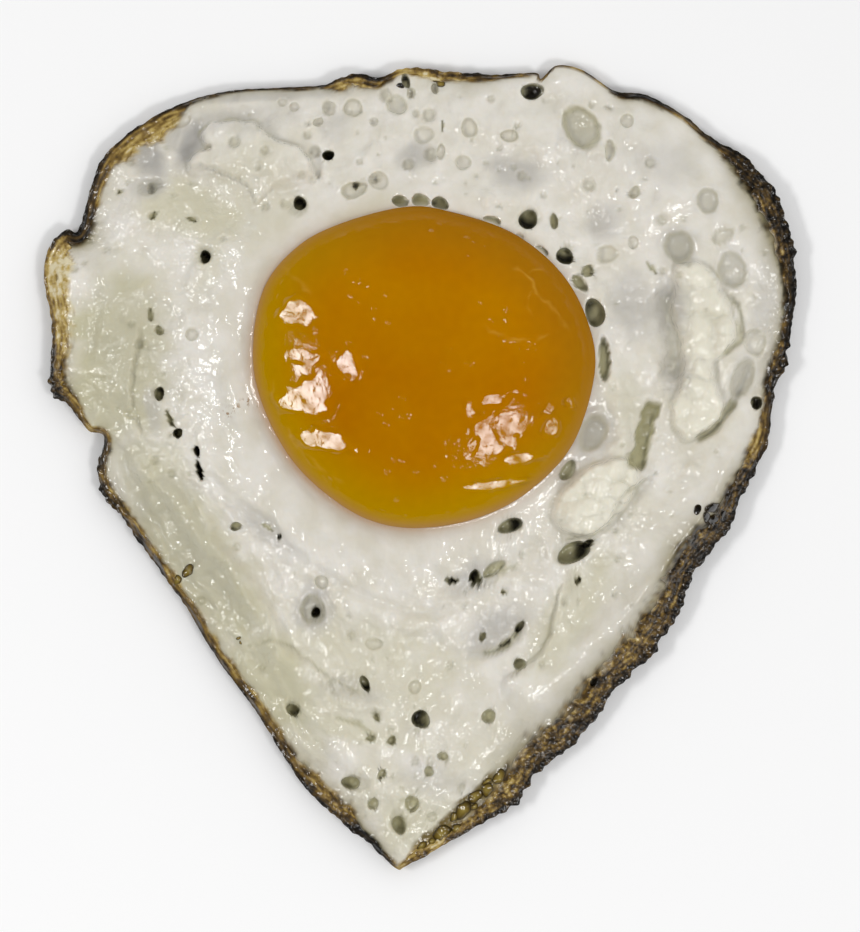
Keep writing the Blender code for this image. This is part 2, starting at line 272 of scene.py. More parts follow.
# Holes that steam left: x, y, width, length, turn in degrees, depth, how much of the bottom is dark, and the
# direction in which that dark part lies; the dark part is partly the charred base seen through the hole and
# partly painted shadow.
PITS = (
    (15.1, 50.6, 3.2, 2, 12, 2.6, 1, 0), (-12.3, 41.9, 1.7, 1.2, 12, 3, 1, 0),
    (-16.1, 35.4, 1.7, 1.7, 0, 2.6, 0.75, 60), (-28.8, 28.3, 1.3, 1.8, 20, 3, 0.8, 30),
    (-2.6, 35.6, 2.2, 1.6, -14, 1.8, 0.42, -50), (0.1, 35.7, 2.5, 1.7, -6, 1.7, 0.22, -90),
    (2.7, 35.3, 2.3, 1.7, -14, 2.2, 0.52, -115), (9.6, 32.9, 2.6, 1.4, -20, 1.4, 0.12, -90),
    (14.5, 33.2, 2.5, 2.4, 0, 2.6, 0.62, -115), (18, 33, 1.1, 2.1, 0, 1.4, 0.15, 0),
    (13.2, 30.8, 1.6, 1, -25, 1.3, 0, 0), (16.2, 28.9, 1.9, 1.4, -35, 1.5, 0.1, 180),
    (19.4, 28.3, 2.2, 2.2, 0, 2.6, 0.7, -100), (21.4, 24.7, 1.3, 3, 40, 1.6, 0.2, -90),
    (22.5, 26.3, 1.7, 1.6, 0, 1.4, 0, 0), (23.4, 20.7, 2.6, 3.7, 22, 2.6, 0.5, 180),
    (24.7, 14.4, 1.6, 6, 4, 1.9, 0.32, 170), (19.8, -0.4, 1.6, 3, -28, 1.4, 0.1, 180),
    (12.1, -7.8, 3.3, 1.8, 24, 2.2, 0.62, 20), (7.5, -14.7, 1.7, 1.9, 0, 2.8, 0.7, 150),
    (9.9, -13.6, 1.6, 3.4, -52, 1, 0, 0), (4.2, -15.2, 2.1, 0.8, 0, 1.6, 0.9, 0),
    (20.6, -11.4, 4.4, 2.6, 30, 2.6, 0.55, 0), (22.6, -10.2, 1.6, 0.9, 40, 2.4, 0.8, 0),
    (21.2, -15.2, 1, 1, 0, 1.6, 0.5, 0), (-14, -19.5, 1.1, 1.4, -20, 3, 1, 0),
    (-7.4, -29, 1.2, 2.1, 24, 2.4, 0.5, -100), (0.1, -33.8, 2.3, 2.4, 0, 2.6, 0.68, 180),
    (-17.1, -32.6, 1.7, 1.5, -25, 1.9, 0.35, -80), (-3.8, -36.7, 1.2, 1.2, 0, 1.3, 0.15, -90),
    (-9.3, -42.4, 2.6, 1.6, -10, 1.8, 0.3, -120), (-2.8, -48.1, 1.6, 2.7, 12, 1.8, 0.3, 0),
    (-35, 9.9, 1.2, 1.9, -12, 2.4, 0.5, 30), (-33.6, 6.6, 0.7, 2.6, 24, 1.8, 0.25, -60),
    (-32.5, 4.6, 1.3, 1.2, 0, 2.6, 0.6, 180), (-29.9, 2.2, 0.8, 1.4, 10, 2.6, 1, 0),
    (-29.6, -0.4, 0.8, 2.8, 12, 2.6, 1, 0), (-24.7, -7.9, 1.4, 1.2, 0, 1.5, 0.3, -50),
    (8.4, -22.7, 0.8, 1.4, -35, 1.4, 0.2, 180), (23.3, -28.8, 0.7, 1.4, -30, 2, 1, 0),
    (-20.4, -8, 1.9, 0.6, -30, 0.5, 0.2, 0), (-18.9, -9.3, 0.6, 0.5, 0, 1.6, 0.9, 0),
    (45.3, 8.7, 1.7, 1.6, 0, 1.6, 1, 0), (-5.8, -33.6, 0.9, 1.2, 30, 1, 0, 0),
    (-6.6, -36.4, 1.5, 0.8, 0, 1.1, 0.1, -90), (-5.1, -41.2, 1.1, 1.5, -30, 1.1, 0.1, -90),
    (-1.1, -45.2, 1.9, 2.2, 30, 1.2, 0, 0), (1.2, -40.8, 1.3, 1.5, 20, 1.1, 0.1, -60),
    (-6.3, -45.2, 1.5, 1.5, 0, 1.1, 0, 0), (13.4, -26.4, 1.7, 1.5, 20, 1.5, 0.2, -90),
    (9.2, -33.4, 1.9, 1.8, 0, 1.3, 0, 0), (3.1, -38.8, 1.5, 1.2, 0, 1, 0.05, -60),
    (11.2, -16.7, 0.9, 0.8, 0, 1.2, 0.1, -90), (-35.8, 33.8, 0.7, 1.4, -30, 1.2, 0.2, 0),
    (-30.6, 33.3, 1.4, 0.6, -30, 1.1, 0.2, 0), (-40.4, 37, 1, 0.6, 0, 0.9, 0.2, -90),
    (-35, 18.4, 1, 1.4, 20, 1.2, 0.1, 0), (-36.2, 20.5, 0.8, 1.9, 0, 1, 0, 0),
    (3, 45.9, 0.5, 1.4, 0, 0.8, 0.2, 0), (-1.9, 52, 1.1, 1.9, 20, 1.4, 0.7, 90),
    (31.1, 26.8, 0.5, 2.4, 35, 0.6, 0.1, 0), (13.4, -21.4, 1, 1.8, -30, 1.2, 0.6, -60),
    (11.4, -23.6, 1.8, 0.8, 30, 1, 0.5, -60),
)  # fmt: skip

# Open bubbles on the surface: x, y, width, length, turn, depth.
CRATERS = (
    (-18.5, 49.1, 1.4, 1.2, 0, 0.5), (-16.9, 48.5, 1.3, 1.5, -30, 0.6), (-12.2, 48.2, 2, 2, 0, 0.7),
    (-9, 48.3, 2.5, 2.7, 20, 1), (-6.2, 46.4, 1.3, 1.2, 0, 0.7), (-3.1, 48.7, 2.6, 3.2, 40, 1.2),
    (-1.2, 50.4, 1.2, 1.6, 0, 1.2), (2, 51, 1, 1.6, 0, 1.2), (0.5, 44.6, 2.7, 2.5, 0, 0.9),
    (-13.7, 46.4, 1.7, 1.1, 20, 0.8), (-8.9, 37.1, 3.4, 2.4, 10, 1.2), (-8.6, 37.8, 1.1, 1, 0, 2),
    (-5.5, 38.4, 2.7, 2.6, 0, 0.7), (6.6, 45.6, 2.2, 2.7, 0, 0.9), (12, 44.5, 2.4, 1.8, 0, 1),
    (5.8, 40.9, 2.3, 2.1, 20, 0.9), (2.8, 42.3, 1.2, 2.3, 0, 0.8), (21.7, 45.7, 4.9, 6.2, 24, 1.8),
    (25.5, 42.6, 1.4, 3.2, 0, 1.1), (27.8, 46.6, 2, 2, 0, 0.9), (28.8, 36.9, 1.4, 1.9, -20, 1.2),
    (38.6, 35.8, 2.9, 3.7, 0, 1), (40.6, 31, 3.4, 1.9, 28, 0.9), (34.8, 29.6, 4, 4.6, 0, 1.2),
    (41.9, 26.5, 4, 5, 0, 0.9), (25.1, 28.6, 2.8, 2.6, 0, 0.9), (28.6, 30.2, 1.6, 1.8, 0, 0.7),
    (45, 16.8, 3.2, 4, 0, 0.8), (43.3, 11.9, 3.2, 5.6, -24, 0.9), (23.2, 4.6, 3.6, 5.6, -20, 1.1),
    (-30.6, 17.8, 1.9, 1.7, 0, 0.8), (-13.2, -15.4, 1.9, 2, 30, 1.1), (-14.4, -19.1, 3.5, 3.9, 20, 1.3),
    (-6.2, -23.7, 2.4, 1.7, 0, 0.6), (-0.7, -29.5, 1.9, 1.9, 0, 0.7), (1.6, -47, 1.5, 1.5, 0, 0.6),
    (-36.3, 37.7, 3.6, 2.2, 20, 0.7), (-36, 37.5, 1.4, 1.7, 0, 1.2), (-28.9, 28.5, 2.2, 2.8, 20, 0.6),
    (-16.3, 35, 2.9, 2.9, 0, 0.8), (14.6, 33.4, 3.4, 3, 0, 0.5), (9.3, -15, 3.4, 2, 40, 0.7),
    (-17, -32.3, 2.6, 2, -20, 0.7), (-2.9, -47.6, 2.5, 3.6, 10, 0.8), (-32, 46.6, 2.6, 1.8, 30, 0.5),
    (20.4, -11, 6, 3.6, 30, 0.8), (11.9, -8.3, 4.4, 2.8, 24, 0.5), (-8.6, -42.4, 4, 2.8, 0, 0.6),
)  # fmt: skip

# Places where the white stayed thin and clear, and looks lilac grey: x, y, width, length, turn, strength.
CLEAR_SPOTS = (
    (13, 39.6, 6.5, 3.4, -10, 0.7), (-0.6, 41.9, 3.6, 3, 0, 0.7), (24.6, 32.9, 4, 3.6, 0, 0.6),
    (-11.5, 46, 3.2, 5, 0, 0.3), (-36.5, 41.8, 3, 5.4, 20, 0.9), (-30.9, 43.6, 2.6, 5, -20, 1),
    (-33, 44.5, 3, 3.6, 0, 0.5), (33.6, 21, 3.6, 7.5, 0, 0.7), (34.3, 13, 3, 5, 15, 0.6),
    (28.6, 21.5, 5.5, 7, 0, 0.55), (34.8, 29.6, 3.6, 4.4, 0, 0.7), (38.6, 35.8, 2.6, 3.2, 0, 0.4),
    (41.9, 26.5, 3.4, 4.4, 0, 0.45), (33, 41, 7, 5, 0, 0.35), (23.2, 4.6, 3.6, 6, -20, 0.8),
    (46.6, 22, 3, 12, 0, 0.35), (43.3, 11.9, 3, 5, -24, 0.5), (-14.4, -19.1, 4, 4.4, 20, 0.8),
    (-36.3, 37.7, 3.6, 2.4, 20, 0.8), (-36, 8, 2, 5, 10, 0.6), (10, -21.8, 7, 4, 25, 0.7),
    (-20.5, -8.5, 8, 2.6, -40, 0.5), (7, -15, 6, 3, 25, 0.6), (-9, -29.8, 6, 3, -20, 0.35),
    (19.8, -0.4, 2, 3.6, -28, 0.7), (-24, 47, 14, 3, 5, 0.3), (1, -41.5, 6, 4, 0, 0.3),
    (-39, 15, 9, 17, 0, 0.25), (-31, -11, 7, 24, 35, 0.3), (-22, 50, 20, 1.2, 3, 0.6),
    (-33, -3, 6, 4, -40, 0.3), (21, 45.3, 3.4, 4.6, 24, 0.5),
)  # fmt: skip

# Places tinged yellow-green, where some yolk or fat has run in: x, y, width, length, turn, strength.
CREAM_SPOTS = (
    (-43.5, 19.5, 8, 4, 20, 1.1), (-40.5, 14, 10, 18, 0, 1.1), (-30, 34.5, 11, 6, -20, 0.7),
    (-28, 31, 3, 10, 0, 0.5), (-33.5, -2, 5, 8, 20, 0.6), (-30.5, -10, 3, 7, 30, 0.4),
    (-30, -12, 8, 26, 35, 1.1), (-20, -28, 7, 16, 35, 0.95), (-8, -28, 22, 12, -10, 0.5),
    (0, -48, 10, 8, 0, 0.6), (37.5, 14, 7, 20, 0, 0.2), (24, -5, 9, 9, 0, 0.2), (20, -20, 5, 14, -30, 0.6),
    (-12, -34.5, 18, 3, -10, 0.6), (-15, -37, 5, 5, 0, 0.4), (-22, 37, 9, 12, 0, 0.4),
    (8, -38, 10, 8, 0, 0.3), (-8, 33.5, 8, 3, 30, 0.4), (-5, -44, 8, 6, 0, 0.4), (27, 8, 5, 9, 0, 0.4),
)  # fmt: skip

# A golden strip of white fried to a film, inside the charred rim by the point.
GILT = ((-0.9, -51.8), (2.6, -49.2), (6, -45.8), (11.6, -40.4))

# A trail of rusty crumbs beside the yolk.
CRUMBS = ((-26.2, 7), (-24.4, 8), (-22.8, 8.9), (-21.2, 8.6))


def spot(x, y, cx, cy, width, length, turn, wobble=0.0):
    """Distance from a spot's middle, 1 at its outline: an ellipse with two and three soft corners."""
    c, s = np.cos(np.radians(turn)), np.sin(np.radians(turn))
    a = ((x - cx) * c + (y - cy) * s) / (width / 2)
    b = ((y - cy) * c - (x - cx) * s) / (length / 2)
    angle = np.arctan2(b, a)
    phase = 5 * cx + 3 * cy
    return np.hypot(a, b) * (1 + wobble * (np.sin(2 * angle + phase) + 0.7 * np.sin(3 * angle - 2 * phase)))


def tinted(x, y, spots, outer, fade):
    """The strongest at each point of soft spots, which fade inwards from an outer distance."""
    strongest = np.zeros(x.shape)
    for cx, cy, width, length, turn, strength in spots:
        r = spot(x, y, cx, cy, 1.3 * width, 1.3 * length, turn, 0.08)
        strongest = np.maximum(strongest, strength * smooth((outer - r) / fade))
    return strongest


def inside(x, y, corners):
    """True where a point is inside a closed outline, by counting the sides that a ray from it crosses."""
    crossings = np.zeros(x.shape, int)
    for (ax, ay), (bx, by) in zip(corners, np.roll(corners, -1, axis=0)):
        spans = (ay > y) != (by > y)
        crossings += spans & (x < ax + (bx - ax) * (y - ay) / (by - ay + 1e-12))
    return crossings % 2 == 1


def gather(x, y, pits, clear_of=()):
    """Draws grid lines in towards the wall of each roundish pit, so that a steep wall has rows enough.

    A pit that lies close to one of those in clear_of is left as it is.
    """
    lies_at, drawn_to = (0, 0.55, 1.65, 2.4), (0, 0.72, 1.12, 2.4)  # 1 is the pit's outline
    for cx, cy, width, length, turn, *_ in pits:
        half = max(width, length) / 2
        thin = half < 0.6 or half > 1.2 * min(width, length)
        room = 1.6 * half
        crowded = any(np.hypot(cx - row[0], cy - row[1]) < room + 0.8 * max(row[2:4]) for row in clear_of)
        if thin or crowded:
            continue
        r = spot(x, y, cx, cy, width, length, turn)
        scale = np.interp(r, lies_at, drawn_to) / np.maximum(r, 1e-6)
        scale = np.where(r < lies_at[-1], scale, 1)
        x, y = cx + (x - cx) * scale, cy + (y - cy) * scale
    return x, y


def lay_sheets(x, y, height, inland):
    """Adds folds, sheet edges and curds to the white's height, and takes furrows and splits away.

    A fold is a bell across its line, a sheet's edge a step that fades, and a curd a heap of domes.
    Also gives the painted shade in creases (below sheet edges, round and between curds, in furrows and
    splits) and what is curd, each 0 to 1.
    """
    for rise, width, line in FOLDS:
        gap, ends = beside(x, y, line, 4, 4)
        height += rise * np.exp(-((gap / width) ** 2)) * (0.35 + 0.65 * ends) * (0.4 + 0.6 * inland)

    crease_shade = np.zeros(x.shape)
    for rise, width, line in LIPS:
        gap, ends = beside(x, y, line, 3, 3, steps=60)
        gap = gap + 0.25 * noise(x, y, 1.6, 3)
        height += rise * ends * smooth(gap / 0.42 + 0.5) * np.exp(-((np.maximum(gap, 0) / width) ** 2))
        shade = (0.28 + 0.3 * noise(x, y, 2.5, 16)) * ends
        # painted shade: a dark line just below each sheet's edge
        crease_shade = np.maximum(crease_shade, shade * np.exp(-(((gap + 0.3) / 0.22) ** 2)))

    curd = np.zeros(x.shape)
    for rise, lump, corners in CURDS:
        outline = through(corners, 60)
        gap = to_line(x, y, np.vstack([outline, outline[:1]]))[0]
        depth_in = np.where(inside(x, y, outline), np.abs(gap), -np.abs(gap)) + 0.35 * noise(x, y, 1.9, 5)
        cell, owner = bubbles(x + 0.4 * noise(x, y, 1.5, 6), y, lump, 7)
        dome = np.sqrt(np.clip(1 - (cell / 0.8) ** 2, 0, 1))
        body = smooth(depth_in / 0.9 + 0.3)
        height += body * rise * (0.45 + 0.75 * dome * (0.45 + 0.55 * owner))
        # painted shade round each curd's outline and in the gaps between its lumps
        shade = 0.22 + 0.25 * noise(x, y, 2.0, 17)
        crease_shade = np.maximum(crease_shade, shade * np.exp(-(((depth_in + 0.3) / 0.25) ** 2)))
        crease_shade = np.maximum(crease_shade, 0.12 * body * smooth((cell - 0.45) / 0.3))
        curd = np.maximum(curd, body)

    for depth, width, line in FURROWS:
        gap, ends = beside(x, y, line, 2, 2)
        gap = gap + 0.3 * width * noise(x, y, 2.0, 9)
        hollow = depth * (0.3 + 0.7 * ends) * np.exp(-((gap / width) ** 2))
        height -= hollow
        # painted shade at the bottom of the deeper furrows
        crease_shade = np.maximum(crease_shade, 0.45 * np.clip(hollow - 0.8, 0, 1))

    split_shade = np.zeros(x.shape)
    for depth, width, line in SPLITS:
        gap, ends = beside(x, y, line, 1.2, 1.2)
        gap = np.abs(gap + 0.3 * noise(x, y, 2.2, 23)) + 0.5 * width * noise(x, y, 1.7, 24)
        opened = smooth((width - gap) / 0.55 + 0.5) * ends
        height -= depth * opened
        # painted shade inside the split
        split_shade = np.maximum(split_shade, opened * (0.3 + 0.35 * depth))
    return height, np.maximum(crease_shade, split_shade), curd


def add_lumps(x, y, height, inland, collar_calm):
    """Adds noise and domes at several sizes, and gives how rough each place is.

    They are strongest on the left and low down, and weak on the collar and on the smooth right shoulder.
    """
    calm_right = smooth((x - 24) / 10) * smooth((y - 22) / 10)
    band_gap = to_line(x, y, through(FOLDS[0][2], 24, closed=False))[0]
    calm_band = np.exp(-((band_gap / 4.5) ** 2))
    rough = (1 - 0.85 * collar_calm) * (1 - 0.6 * calm_right) * (1 - 0.6 * calm_band)
    drift_x = x + 1.2 * noise(x, y, 5.0, 11)
    drift_y = y + 1.2 * noise(x, y, 5.0, 12)
    height += rough * (0.55 * noise(x, y, 8.0, 1) + 0.42 * noise(drift_x, drift_y, 3.4, 2)) * inland
    flow_x, flow_y = 0.54 * drift_x - 0.84 * drift_y, 0.84 * drift_x + 0.54 * drift_y
    low_left = smooth(-(x - 2) / 22) * smooth((12 - y) / 14)
    strands = 0.42 * noise(flow_x / 4.5, flow_y, 1.7, 4) + 0.16 * noise(flow_x / 4, flow_y, 0.9, 27)
    height += low_left * rough * strands
    for size, rise, seed in ((2.4, 0.42, 8), (1.5, 0.26, 10)):
        cell, owner = bubbles(drift_x, drift_y, size, seed)
        height += rough * rise * owner**2 * smooth((0.72 - cell) / 0.55) * (0.5 + noise(x, y, 9.0, seed + 20))
    height += rough * 0.10 * noise(drift_x, drift_y, 1.3, 28)
    return height, rough


def sink_craters(x, y, height, painted_shade, from_rim, collar_calm):
    """Takes open bubbles out of the white: bowls with a raised lip, and small random ones; paints shade into
    their bowls and just inside their rims.
    """
    for cx, cy, width, length, angle, depth in CRATERS:
        r = spot(x, y, cx, cy, width, length, angle, 0.05) + 0.07 * noise(x, y, 0.9, 18)
        bowl = smooth((1.04 - r) / 0.40) * (1 - 0.2 * np.minimum(r, 1) ** 2)
        height -= 0.9 * depth * bowl
        height += 0.15 * np.exp(-(((r - 1.14) / 0.12) ** 2))
        # painted shade: olive in the bowl and just inside the rim
        painted_shade = np.maximum(painted_shade, depth * (0.16 * bowl + 0.22 * np.exp(-(((r - 0.88) / 0.14) ** 2))))

    # small random craters where steam came through most
    steamy = 0.25 + 0.75 * np.exp(-(((x - 2) / 26) ** 2) - (((y - 42) / 9) ** 2))
    steamy = np.maximum(steamy, np.exp(-(((x + 3) / 10) ** 2) - (((y + 42) / 8) ** 2)))
    for size, seed in ((3.1, 21), (1.9, 22)):
        cell, owner = bubbles(x, y, size, seed)
        radius = 0.14 + 0.24 * (owner * 7.31 % 1)
        chosen = (owner < 0.26 * steamy) & (collar_calm < 0.4) & (from_rim > 1.5)
        bowl = smooth((1.05 - cell / radius) / 0.5) * chosen
        height -= 0.8 * radius * size * bowl
        painted_shade = np.maximum(painted_shade, 0.22 * bowl)
    return height, painted_shade


def sink_pits(x, y, height, painted_shade, off_yolk):
    """Takes steep-walled pits out, and gives their painted shade, where they are black and how far their
    walls lean out.

    A pit's dark part is a crescent on one side of its bottom: partly the charred base that shows through,
    partly painted shadow.
    """
    wall_shift = np.zeros(x.shape + (2,))
    black = np.zeros(x.shape)
    for cx, cy, width, length, angle, depth, dark, lean in PITS:
        r = spot(x, y, cx, cy, width, length, angle, 0.06)
        wall = (1 - smooth((r - 0.76) / 0.30)) * off_yolk
        lean_x, lean_y = np.cos(np.radians(lean)), np.sin(np.radians(lean))
        size = 0.25 * (width + length)
        across = np.hypot((x - cx) / size + 0.9 * lean_x, (y - cy) / size + 0.9 * lean_y)
        # painted shadow, partly the charred base showing through: a dark crescent towards the side given by
        # lean
        hole = smooth((across - 1.95 + 2.1 * dark) / 0.75) * smooth((1.0 - r) / 0.3)
        hole = hole * (dark > 0) * off_yolk
        height -= depth * wall * (0.85 + 0.15 * r**2 + 0.3 * hole)
        height += 0.14 * np.exp(-(((r - 1.22) / 0.16) ** 2)) * off_yolk
        # painted shade: olive over the pit's walls and bottom
        painted_shade = np.maximum(painted_shade, wall * (0.55 + 0.12 * depth))
        black = np.maximum(black, hole)
        under = 0.08 * min(width, length) * np.sin(np.pi * wall) * (wall > 0.02)
        reach_out = np.stack([x - cx, y - cy], axis=-1)
        reach_out /= np.maximum(np.linalg.norm(reach_out, axis=-1, keepdims=True), 1e-6)
        wall_shift += reach_out * under[..., None]
    return height, painted_shade, black, wall_shift


def white_relief(x, y, from_rim, from_yolk):
    """Top of the white, with its painted shade in pits, craters and creases, how clear, creamy and rough each
    place is, and how far pit walls lean out.

    The base is a rim rising to a field and to a collar at the yolk. Sheets, curds and lumps are added,
    and bubble craters and pits are taken away.
    """
    turn = np.arctan2(y - YOLK_CENTRE[1], x - YOLK_CENTRE[0])
    calm_side = 0.5 - 0.5 * np.cos(turn - np.radians(PITTED_SIDE))
    inland = smooth(from_rim / 4.0)
    height = RIM_THICKNESS + (FIELD_HEIGHT - RIM_THICKNESS) * smooth(from_rim / RIM_SLOPE) ** 0.7
    height += COLLAR_RISE * np.exp(-((from_yolk / (COLLAR_WIDTH * (0.6 + 0.6 * calm_side))) ** 2))
    height += CREST_RISE * calm_side * np.exp(-(((from_yolk + 0.3) / CREST_WIDTH) ** 2))
    collar_calm = np.exp(-((np.maximum(from_yolk, 0) / (2.0 + 5.5 * calm_side)) ** 4))
    height, painted_shade, curd = lay_sheets(x, y, height, inland)
    height, rough = add_lumps(x, y, height, inland, collar_calm)
    clear = tinted(x, y, CLEAR_SPOTS, 1.45 - 0.18 * noise(x, y, 1.8, 13), 1.1)
    cream = tinted(x, y, CREAM_SPOTS, 1.5 - 0.2 * noise(x, y, 2.6, 14), 1)
    height -= CLEAR_DIP * clear
    height, painted_shade = sink_craters(x, y, height, painted_shade, from_rim, collar_calm)
    # the white that hugs the yolk stays whole, so pits fade out towards it
    height, painted_shade, black, wall_shift = sink_pits(x, y, height, painted_shade, smooth((from_yolk + 0.15) / 0.9))

    crumb_gap, crumb_along, crumb_run = to_line(x, y, through(CRUMBS, 24, closed=False))
    gilt_gap, gilt_ends = beside(x, y, GILT, 0.8, 2.5)
    looks = {
        "gilt": smooth((1.25 + 0.5 * noise(x, y, 1.4, 29) - np.abs(gilt_gap)) / 0.5) * gilt_ends,
        "painted_shade": np.clip(painted_shade, 0, 1),
        "black": black,
        "clear": clear,
        "cream": np.maximum(cream, 0.2 * curd),
        "curd": 0.85 * curd,
        "rough": np.clip(0.15 + 0.75 * rough * (0.75 + 0.5 * noise(x, y, 6.0, 15)), 0, 1),
        "peach": calm_side * np.exp(-np.maximum(from_yolk, 0) / 0.9),
        "crumbs": np.exp(-((crumb_gap / 0.55) ** 2)) * (crumb_along > 0) * (crumb_along < crumb_run),
    }
    return np.maximum(height, THINNEST), looks, wall_shift


def from_loop(x, y, loop):
    """Distance from each point to a closed curve, how far round that is, and the whole way round."""
    closed = np.vstack([loop, loop[:1]])
    lengths = np.hypot(*(closed[1:] - closed[:-1]).T)
    runs = np.concatenate([[0], np.cumsum(lengths)])
    flat_x, flat_y = np.ravel(x), np.ravel(y)
    nearest = np.empty(flat_x.shape)
    place = np.empty(flat_x.shape)
    for low in range(0, len(flat_x), 4096):
        px, py = flat_x[low : low + 4096], flat_y[low : low + 4096]
        corner = np.argmin((px[:, None] - loop[:, 0]) ** 2 + (py[:, None] - loop[:, 1]) ** 2, axis=1)
        best = np.full(px.shape, 1e9)
        found = np.zeros(px.shape)
        for shift in (-1, 0):
            i = (corner + shift) % len(loop)
            start, along = loop[i], closed[i + 1] - loop[i]
            dx, dy = px - start[:, 0], py - start[:, 1]
            t = np.clip((dx * along[:, 0] + dy * along[:, 1]) / lengths[i] ** 2, 0, 1)
            gap = np.hypot(dx - t * along[:, 0], dy - t * along[:, 1])
            found = np.where(gap < best, runs[i] + t * lengths[i], found)
            best = np.minimum(best, gap)
        nearest[low : low + 4096] = best
        place[low : low + 4096] = found
    return nearest.reshape(np.shape(x)), place.reshape(np.shape(x)), runs[-1]


def from_yolk_edge(x, y):
    """Distance outside the yolk's widest outline, negative inside it."""
    angle = np.arctan2(y - YOLK_CENTRE[1], x - YOLK_CENTRE[0])
    outside = np.hypot(x - YOLK_CENTRE[0], y - YOLK_CENTRE[1]) > reach(yolk_outline, YOLK_CENTRE, angle)
    return np.where(outside, 1, -1) * from_loop(x, y, yolk_outline)[0]


def skin_of_white(x, y):
    """Distance in from the rim, place along it, and the white's height, looks and wall shift."""
    from_rim, along, _ = from_loop(x, y, white_outline)
    height, looks, wall_shift = white_relief(x, y, from_rim, from_yolk_edge(x, y))
    return from_rim, along, height + RIM_LIFT * smooth(1 - from_rim / LIFT_WIDTH), looks, wall_shift


# Toasting: the rim is a thin gold line where the white was thick, a wide black and gold lace where
# fat pooled on the lower right, and a golden fold on the left flap.

